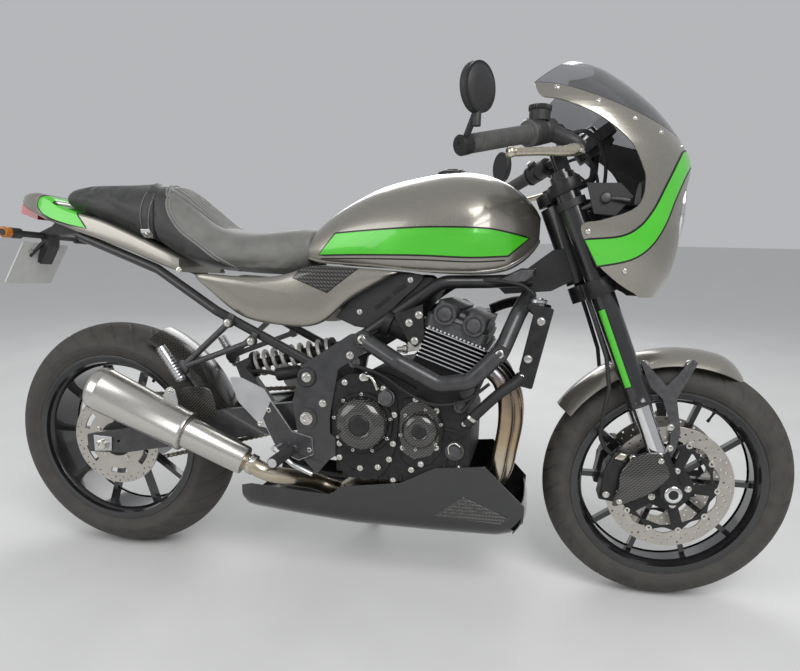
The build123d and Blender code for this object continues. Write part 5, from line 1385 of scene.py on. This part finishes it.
bosses, boss_bolts = [], []
for side in SIDES:
    for x, z, y, r in ((728, 631, 187, 21), (1046, 615, 206, 19), (582, 532, 156, 24)):
        boss = [(0, 0), (0, r), (16, r), (19, r - 3), (19, r - 7), (16, r - 8), (16, 0)]
        bosses.append(turned((x, side * (y - 8), z), (0, side, 0), boss, 36))
        boss_bolts += side_bolts(y + 7, 9, 6, [(x, z)], [side])
    boss_bolts += side_bolts(160.5, 7, 4, ((690, 590), (622, 470)), [side])
    boss_bolts += side_bolts(164, 12, 5, [(581, 430)], [side]) + side_bolts(121.5, 6, 4, [(240, 774)], [side])
solid("frame_bosses", bosses, graphite, smooth=45)
solid("frame_bolts", boss_bolts, bolt_steel)
BRACKET = [(800, 690), (866, 716), (872, 640), (852, 618), (834, 634)]
solid("head_brackets", boards(BRACKET, 186, 191), satin_black, bevel=1.2)
solid("bracket_bolts", side_bolts(191, 6.5, 4, ((858, 692), (836, 674), (850, 634))), bolt_steel)

# Engine case details

CASE_SIDE = 150
CLUTCH_RIM = [(645, 518), (682, 543), (721, 548), (756, 538), (787, 517), (806, 486), (812, 430)]
CLUTCH_RIM += [(806, 372), (788, 320), (768, 292), (722, 300), (676, 316), (642, 346)]
CAM_RIM = [
    (822, 492), (862, 500), (905, 478), (920, 424), (918, 366), (894, 336), (850, 322), (822, 342), (816, 380),
    (814, 440)
]
CAM_COVER = [
    (815, 462), (839, 486), (868, 489), (904, 470), (912, 430), (910, 384), (893, 358), (852, 345), (826, 360),
    (815, 398)
]
SUMP_RIM = [(664, 330), (700, 306), (764, 296), (764, 286), (690, 286), (664, 306)]
case_plates = [board(CLUTCH_RIM, -CASE_SIDE, -156), board(CAM_RIM, -CASE_SIDE, -155.5)]
case_plates += [board(SUMP_RIM, -CASE_SIDE, -158), board(CAM_RIM, CASE_SIDE, 155.5)]
solid("case_plates", case_plates, cast_black, smooth=40, bevel=2.2)
CASE_RIBS = (
    (153.5, [(664, 470), (976, 420), (976, 412), (664, 461)]),
    (156, [(716, 561), (790, 548), (850, 520), (850, 514), (788, 541), (716, 554)]),
    (154, [(920, 300), (926, 300), (938, 404), (932, 404)]),
    (154, [(950, 292), (956, 290), (966, 408), (960, 409)]),
)
sump_ribs = [[(x, 286), (x + 7, 286), (x + 7, 300), (x, 302)] for x in range(672, 925, 36)]
ribs = [board(rib, side * CASE_SIDE, side * 155) for side in SIDES for rib in sump_ribs]
ribs += [plate for far, rib in CASE_RIBS for plate in boards(rib, CASE_SIDE, far)]
solid("pulser_cover", [board(CAM_COVER, -154, -161)], weave_cover, smooth=40, bevel=2)
solid("case_ribs", ribs, cast_black, smooth=40, bevel=1.0)
CLUTCH_SPOTS = [
    (664, 372), (762, 318), (790, 340), (717, 312), (800, 452), (799, 380), (676, 524), (728, 538), (772, 514),
    (664, 336)
]
CAM_SPOTS = [(824, 372), (826, 452), (905, 378), (869, 334), (852, 492), (902, 468), (846, 318)]
CASE_SPOTS = ((690, 292), (800, 286), (905, 284), (960, 330), (970, 440), (958, 482))
case_bolts = side_bolts(156, 5.5, 5, CLUTCH_SPOTS + CAM_SPOTS, (-1,))
case_bolts += side_bolts(CASE_SIDE, 5.5, 5, CAM_SPOTS, (1,))
case_bolts += side_bolts(CASE_SIDE, 5, 4, CASE_SPOTS)
solid("case_bolts", case_bolts, bolt_steel)
FLANK = flat([(639, 675), (714, 753), (782, 779), (854, 777), (801, 719), (733, 658), (688, 655)], 4)
solid("flank_covers", boards(FLANK, 105, 112), plastic, smooth=40, bevel=2.5)
# The slots are near-black boards laid on the flank covers, not cut into them: painted shade where the openings look
# dark
FLANK_SLOTS = ([(736, 704), (742, 696), (779, 726), (772, 733)], [(778, 739), (784, 731), (816, 754), (809, 761)])
slots = [board(slot, side * 111.5, side * 113) for side in SIDES for slot in FLANK_SLOTS]
solid("flank_slot_shade", slots, line_black, smooth=40, bevel=0.6)
solid("flank_bolts", side_bolts(112, 5, 3, ((700, 690), (822, 768))), bolt_steel)
bosses = []
for side in SIDES:
    for x, z, r in ((958, 482, 15), (700, 574, 14)):
        boss = [(0, 0), (0, r + 5), (8, r), (8, r - 6), (6, r - 7), (6, 0)]
        bosses.append(turned((x, side * CASE_SIDE, z), (0, side, 0), boss, 32))
FILLER = [(0, 0), (0, 22), (8, 22), (10, 19), (16, 18), (17, 8), (17, 0)]
bosses.append(turned((781, -154, 491), (-0.1, -1, 0.15), FILLER, 12))
bosses.append(
    turned((950, -CASE_SIDE, 372), (0, -1, 0), [(0, 0), (0, 24), (5, 23), (5, 16), (12, 15), (13, 0)], 32)
)
solid("case_bosses", bosses, cast_grey, smooth=40)
arm = [pipe([(722, -160, 540), (740, -164, 543), (752, -168, 531), (760, -168, 512)], 4.5, 10)]
arm.append(turned((724, -154, 540), (0, -1, 0), [(0, 0), (0, 9), (14, 9), (15, 6), (15, 0)], 24))
arm.append(pipe([(938, -163, 366), (936, -165, 384), (950, -166, 394), (964, -165, 386)], 2, 8))
solid("clutch_arm", arm, bolt_steel, smooth=50)
sender = [board([(832, 606), (864, 614), (864, 634), (832, 630)], -160, -180)]
sender.append(turned((830, -170, 612), (-1, 0, -0.1), [(0, 0), (0, 10), (10, 10), (10, 7), (24, 7), (25, 0)], 24))
solid("head_fitting", sender, bolt_steel, smooth=40, bevel=1.5)
LINE = [(700, 158, 566), (770, 166, 548), (840, 176, 508), (900, 182, 488), (970, 176, 500)]
case_lines = [pipe([(x, -y, z) for x, y, z in LINE] + [(1024, -160, 540)], 4, 10)]
case_lines.append(pipe([(964, -158, 470), (985, -166, 500), (1010, -168, 560), (1016, -160, 610)], 5, 10))
case_lines.append(pipe(LINE, 4, 10))
solid("case_lines", case_lines, rubber, smooth=60)
SHROUD = [(1022, 774), (1077, 802), (1112, 802), (1110, 785), (1092, 770), (1060, 764)]
middle = Vector((1074, 783))
shroud = []
for y, share in ((60, 1), (92, 1), (104, 0.9), (108, 0.75)):
    ring = [middle + (Vector(p) - middle) * share for p in SHROUD]
    shroud.append([(p.x, -y, p.y) for p in ring])
solid("front_shrouds", mirrored(skin(shroud)), cast_grey, smooth=40, bevel=2)

# Radiator core, cap and hoses

RADIATOR = Vector((1122, 0, 546))
RADIATOR_HALF = 128
rad_up = Vector((32, 0, 172)).normalized()
rad_out = Vector((rad_up.z, 0, -rad_up.x))
FIN = ((0, 0), (2.2, 0), (2.2, 0.9), (0, 0.9))
ENDS = (-RADIATOR_HALF, RADIATOR_HALF)
core = [slab(RADIATOR + rad_up * (row * 3.7), rad_out, rad_up, LEFT, FIN, ENDS) for row in range(44)]
solid("radiator_fins", core, alloy, smooth=30)
cap = [(0, 0), (0, 13), (8, 13), (8, 18), (10, 20), (16, 20), (18, 18), (18, 11), (21, 9), (21, 0)]
solid("radiator_cap", [turned((1122, -112, 716), (0.05, 0, 1), cap, 28)], alloy, smooth=40)
solid("radiator_bolts", side_bolts(142.5, 7, 4, ((1131, 686), (1108, 600))), bolt_steel)
hoses = [
    pipe([(1110, -118, 570), (1085, -140, 545), (1050, -156, 520), (1010, -158, 480), (975, -150, 440)], 13, 16)
]
hoses.append(pipe([(1118, 110, 700), (1080, 128, 722), (1040, 130, 716), (1000, 120, 700)], 13, 16))
hoses.append(
    pipe([(892, -96, 752), (940, -104, 768), (1010, -108, 772), (1078, -106, 765), (1112, -104, 742)], 4, 10)
)
solid("coolant_hoses", hoses, rubber, smooth=60)
HOSE_BAND = [(0, 13.3), (0, 14.6), (8, 14.6), (8, 13.3)]
BAND_SPOTS = (((1098, -128, 557), (-0.8, -0.5, -0.55)), ((990, -155, 460), (-0.6, 0.1, -0.8)))
solid("hose_bands", [turned(*at, HOSE_BAND, 32) for at in BAND_SPOTS], bolt_steel, smooth=45)
THROTTLE = [(0, 0), (0, 26), (12, 27), (14, 24), (60, 22), (62, 30), (80, 32), (80, 0)]
throttle = [turned((842, y, 640), (-0.9, 0, 0.35), THROTTLE, 32) for y in (-132, -44, 44, 132)]
solid("throttle_bodies", throttle, cast_black, smooth=45)

# Belly pan

PAN_TOP = [
    (400, 240), (427, 248), (641, 236), (667, 260), (820, 282), (905, 327), (1026, 339), (1075, 291), (1125, 243)
]
PAN_LOW = [(400, 196), (411, 178), (560, 164), (700, 154), (900, 153), (1060, 155), (1100, 163), (1125, 190)]
PAN_START, PAN_LENGTH, PAN_WALL = 400, 725, 3.5


def level_at(table, x):
    """Height of a broken line at a place."""
    for (x0, z0), (x1, z1) in zip(table, table[1:]):
        if x0 <= x <= x1:
            return z0 + (z1 - z0) * (x - x0) / (x1 - x0)
    return table[-1][1]


pan_rings = []
for k in range(74):
    x = PAN_START + PAN_LENGTH * k / 73
    low, high = level_at(PAN_LOW, x), level_at(PAN_TOP, x)
    half = 157 - 10 * max(0, (x - 1040) / 85) ** 2 - 8 * max(0, (450 - x) / 50) ** 2
    corner = min(46, (high - low) * 0.7)
    outer = [(half, high)] + [polar(corner, -a, (half - corner, low + corner)) for a in range(0, 91, 15)]
    outer += [(-y, z) for y, z in reversed(outer)]
    inner = [(y - math.copysign(PAN_WALL, y), max(z, low + PAN_WALL)) for y, z in outer]
    pan_rings.append([Vector((x, y, z)) for y, z in outer + inner[::-1]])
NOSE_EDGE = [(1125, 243), (1131, 222), (1132, 206), (1125, 190), (1112, 172)]
nose_rows = [[(x - 10 * (abs(y) / 147) ** 3, y, z) for y in range(-147, 148, 14)] for x, z in NOSE_EDGE]
solid("belly_pan_shell", [skin(pan_rings)], paint_black, smooth=45, replaces=["belly_pan"])
solid("belly_pan_nose", [grid(nose_rows)], paint_black, smooth=60, thick=3)
VENT = [(908, 205), (977, 259), (1088, 214), (1071, 197)]
solid("pan_vents", boards(VENT, 156.5, 158), weave_fine, bevel=0.6)
slats = []
for k in range(4):
    x, u, v = 912 + 12 * k, 976 + 20 * k, 253 - 8 * k
    slats += boards([(x, 207), (x + 5, 207), (u + 4, v), (u, v + 3)], 157, 159.2)
solid("pan_slats", slats, cast_grey, bevel=0.4)

# Handlebar controls

BAR_RISE, BAR_END = Vector((1138, -200, 1076)), Vector((974, -406, 1010))
GRIP_LINE = (BAR_END - BAR_RISE).normalized()
BAR_LENGTH = (BAR_END - BAR_RISE).length
grip = [(98, 11.3), (98, 24), (101, 25), (104, 24), (106, 18)]
grip += ribbed(108, 6.2, 26, (0, 3, 4, 5.4), 16.9, 15.6)
grip += [(BAR_LENGTH - 1, 16.5), (BAR_LENGTH, 15), (BAR_LENGTH, 11.3)]
grips = [turned(BAR_RISE, GRIP_LINE, grip, 32)]
HOUSING = [(28, 11.3), (28, 19), (32, 23), (58, 24), (62, 21), (66, 24.5), (90, 24.5), (94, 21), (94, 11.3)]
pod, pod_out = BAR_RISE + GRIP_LINE * 76, (-0.7, 0.2, 0.6)
pivot, knuckle, tip = Vector((1182, -234, 1034)), Vector((1146, -300, 1016)), Vector((1056, -392, 999))
housings = [turned(BAR_RISE, GRIP_LINE, HOUSING, 24)]
housings.append(turned(pod + Vector((-10, 6, 10)), pod_out, [(0, 0), (0, 15), (12, 15), (14, 12), (14, 0)], 24))
arm = [BAR_RISE + GRIP_LINE * 42, BAR_RISE.lerp(pivot, 0.7) + Vector((0, -22, -6)), pivot]
housings.append(pipe(arm, [17, 14, 11], 16, 4))
blade = [
    pivot, pivot.lerp(knuckle, 0.5) + Vector((5, 0, 0)), knuckle, knuckle.lerp(tip, 0.5) + Vector((4, -2, 0)), tip
]
LEVER_END = [(0, 0), (0, 8), (3, 9.5), (9, 9.5), (12, 6), (13, 0)]
levers = [pipe(blade, [9, 12, 10, 7.5, 8], 16, 8), turned(tip - Vector((2, -2, 0)), tip - knuckle, LEVER_END, 24)]
knobs = [turned(pod + Vector((-20, 9, 19)), pod_out, [(0, 0), (0, 7), (5, 7), (6, 5), (6, 0)], 20)]
knobs.append(turned(pivot + Vector((0, 0, -11)), UP, [(0, 0), (0, 9), (22, 9), (24, 7), (24, 0)], 24))
adjuster = knuckle.lerp(pivot, 0.6) + Vector((7, -2, -4))
knobs.append(turned(adjuster, (0.8, -0.6, 0), [(0, 0), (0, 5), (12, 5), (13, 0)], 16))
WEIGHT = [(0, 0), (0, 17.5), (4, 18), (20, 18), (23, 15), (23, 6), (21, 5), (21, 0)]
bar_ends = [turned(BAR_RISE + GRIP_LINE * (BAR_LENGTH + 0.5), GRIP_LINE, WEIGHT, 32)]
solid("grip_rubbers", mirrored(*grips), grip_grey, "steering", smooth=35, replaces=["grips"])
solid("switch_housings", mirrored(*housings), plastic, "steering", smooth=40, replaces=["controls"])
solid("levers", mirrored(*levers), lever_gold, "steering", smooth=50)
solid("lever_pivots", mirrored(*knobs), bolt_steel, "steering", smooth=40)
solid("bar_ends", mirrored(*bar_ends), satin_black, "steering", smooth=40)
POT = Vector((1096, -248, 1056))
pot = turned(POT, UP, [(0, 0), (0, 14), (24, 17), (24, 21), (42, 21), (42, 0)], 40)
solid("brake_reservoir", [pot], plastic, "steering", smooth=40)
where = Matrix.Translation(POT + UP * 47)
stamp("reservoir_cap", [wave(22, 0.9, 26, 208)], 10, satin_black, "steering", where, bevel=1.0)
badge = turned(POT + UP * 52, UP, [(0, 0), (0, 15), (1, 15), (1.6, 14), (1.6, 0)], 36)
solid("reservoir_badge", [badge], alloy, "steering")
solid(
    "reservoir_stay", [pipe([POT + UP * 6, POT + Vector((18, 6, 0)), (1140, -222, 1062)], 5, 10)], plastic,
    "steering"
)
MIRROR = Vector((989, -430, 1097))
MIRROR_OUT = (0.83, -0.55, 0)
shell = [(-3, 36), (-7.5, 39), (-8, 41), (-5, 42), (3, 41), (9, 34), (12, 22), (13.5, 8), (14, 0)]
neck = turned(MIRROR - UP * 62, UP, [(0, 0), (0, 8), (22, 8), (26, 6), (26, 0)], 20)
shells = mirrored(turned(MIRROR, MIRROR_OUT, shell, 56), neck)
solid("mirror_shells", shells, plastic, "steering", smooth=50)
glass = turned(MIRROR, MIRROR_OUT, [(-5.6, 0), (-6, 37.6), (-5, 37.6)], 56)
solid("mirror_glass", mirrored(glass), mirror_glass, "steering", smooth=40)

# Dials, seen from the rider's place

DIAL_OUT = Vector((-0.62, 0, 0.78)).normalized()
DIAL_UP = Vector((0.78, 0, 0.62)).normalized()
DIAL_RIM = [(-36, 30), (-30, 43), (-2, 44.6), (3, 44), (5, 42), (3, 40), (1, 39.5)]
DIALS = Vector((1218, 0, 1086))
NEEDLE = ((-8, -1.6), (33, -0.4), (33, 0.4), (-8, 1.6))
dial_rims, dial_plates, marks, needles = [], [], [], []


def dial_axes(degrees):
    """Directions along and across a mark or needle."""
    u, v = polar(1, degrees)
    along = DIAL_UP * v - LEFT * u
    return along, DIAL_OUT.cross(along)


for y in (-52, 52):
    spot = DIALS + LEFT * y + DIAL_OUT * 18
    dial_rims.append(turned(spot, DIAL_OUT, DIAL_RIM, 64))
    dial_plates.append(turned(spot, DIAL_OUT, [(0.6, 0), (0.6, 40)], 64))
    for k in range(33):
        inner, wide = (30, 0.9) if k % 4 == 0 else (34, 0.5)
        mark = ((inner, -wide), (38, -wide), (38, wide), (inner, wide))
        marks.append(slab(spot, *dial_axes(225 - 270 * k / 32), DIAL_OUT, mark, (0.7, 1.1)))
    needles.append(slab(spot, *dial_axes(222), DIAL_OUT, NEEDLE, (2.2, 3)))
    needles.append(turned(spot, DIAL_OUT, [(0.6, 5.5), (4, 5), (4.5, 3), (4.5, 0)], 24))
solid("dial_rims", dial_rims, chrome, "steering", smooth=45)
solid("dial_faces", dial_plates, dial_face, "steering")
solid("dial_marks", marks, plate_white, "steering")
solid("dial_needles", needles, lever_gold, "steering")
DISPLAY = ((-7, -24), (7, -24), (7, 24), (-7, 24))
solid("dial_display", [slab(DIALS, LEFT, DIAL_UP, DIAL_OUT, DISPLAY, (6, 8.5))], dial_face, "steering", bevel=0.5)
STAY_PLATE = [(1203, 980), (1274, 980), (1303, 953), (1270, 914), (1224, 917)]
solid("fairing_stay_plates", boards(STAY_PLATE, 146, 150), plastic, "steering", bevel=1)
STAY_HUB = [(0, 0), (0, 12), (6, 11), (8, 8), (8, 0)]
stay_rods = pipes([(1296, 158, 944), (1250, 148, 948), (1200, 122, 930)], 5, 10)
stay_rods += [turned((1246, side * 150, 950), (0, side, 0), STAY_HUB, 24) for side in SIDES]
solid("fairing_stays", stay_rods, cast_grey, "steering", smooth=50)
cables = pipes([(1150, 190, 1066), (1200, 158, 1076), (1240, 112, 1030), (1244, 84, 960), (1240, 74, 900)], 4, 10)
cables += pipes([(1146, 186, 1052), (1190, 150, 1040), (1226, 104, 1000), (1234, 78, 940), (1236, 66, 900)], 3, 8)
solid("bar_cables", cables, rubber, "steering", smooth=60)


def fork_band(side, low, high, start, stop, lift):
    """Strip round the outer side of a fork tube, between two heights and two angles."""
    ring = [polar(TUBE_RADIUS + lift, a) for a in range(start, stop + 1, 3)]
    return grid([[on_fork(LEG_AHEAD + u, side * (LEG_SIDE + v), h) for u, v in ring] for h in (low, high)])


stripes = [fork_band(side, 276, 462, 106, 139, 0.6) for side in SIDES]
solid("fork_stripes", stripes, paint_green, "steering", smooth=60)
edges = [fork_band(side, 273, 465, 100, 145, 0.3) for side in SIDES]
solid("fork_stripe_edges", edges, line_black, "steering", smooth=60)

# Tail fittings

LENS = [(0, 12), (0, 13.6), (17, 13.6), (20, 10), (21, 0)]
lenses = [turned((-205, side * 150, 854), (0, side, 0), LENS, 32) for side in SIDES]
solid("indicator_lenses", lenses, amber, smooth=45)
LAMP_LENS = [(-243, 928), (-222, 917), (-204, 909), (-206, 899), (-246, 911)]
solid("tail_lamp_lens", [board(LAMP_LENS, -44, 44)], lamp_red, bevel=2)
arms = pipes([(-196, 10, 850), (-214, 26, 830), (-236, 44, 800)], 5, 10)
solid("plate_arms", arms, plastic, smooth=50)
screws = [bolt((-226, side * 50, 812), (0.84, 0, -0.54), 5, 3) for side in SIDES]
solid("plate_screws", screws, bolt_steel)
SPRING_TOP, SPRING_FOOT = Vector((646, 184, 296)), Vector((664, 214, 220))
stand_spring = []
for k in range(97):
    u, v = polar(1, 45 * k)
    stand_spring.append(SPRING_TOP.lerp(SPRING_FOOT, k / 96) + Vector((7 * u, 7 * v, 2 * v)))
solid("stand_spring", [pipe(stand_spring, 1.6, 6, 1)], bolt_steel, "side_stand", smooth=60)
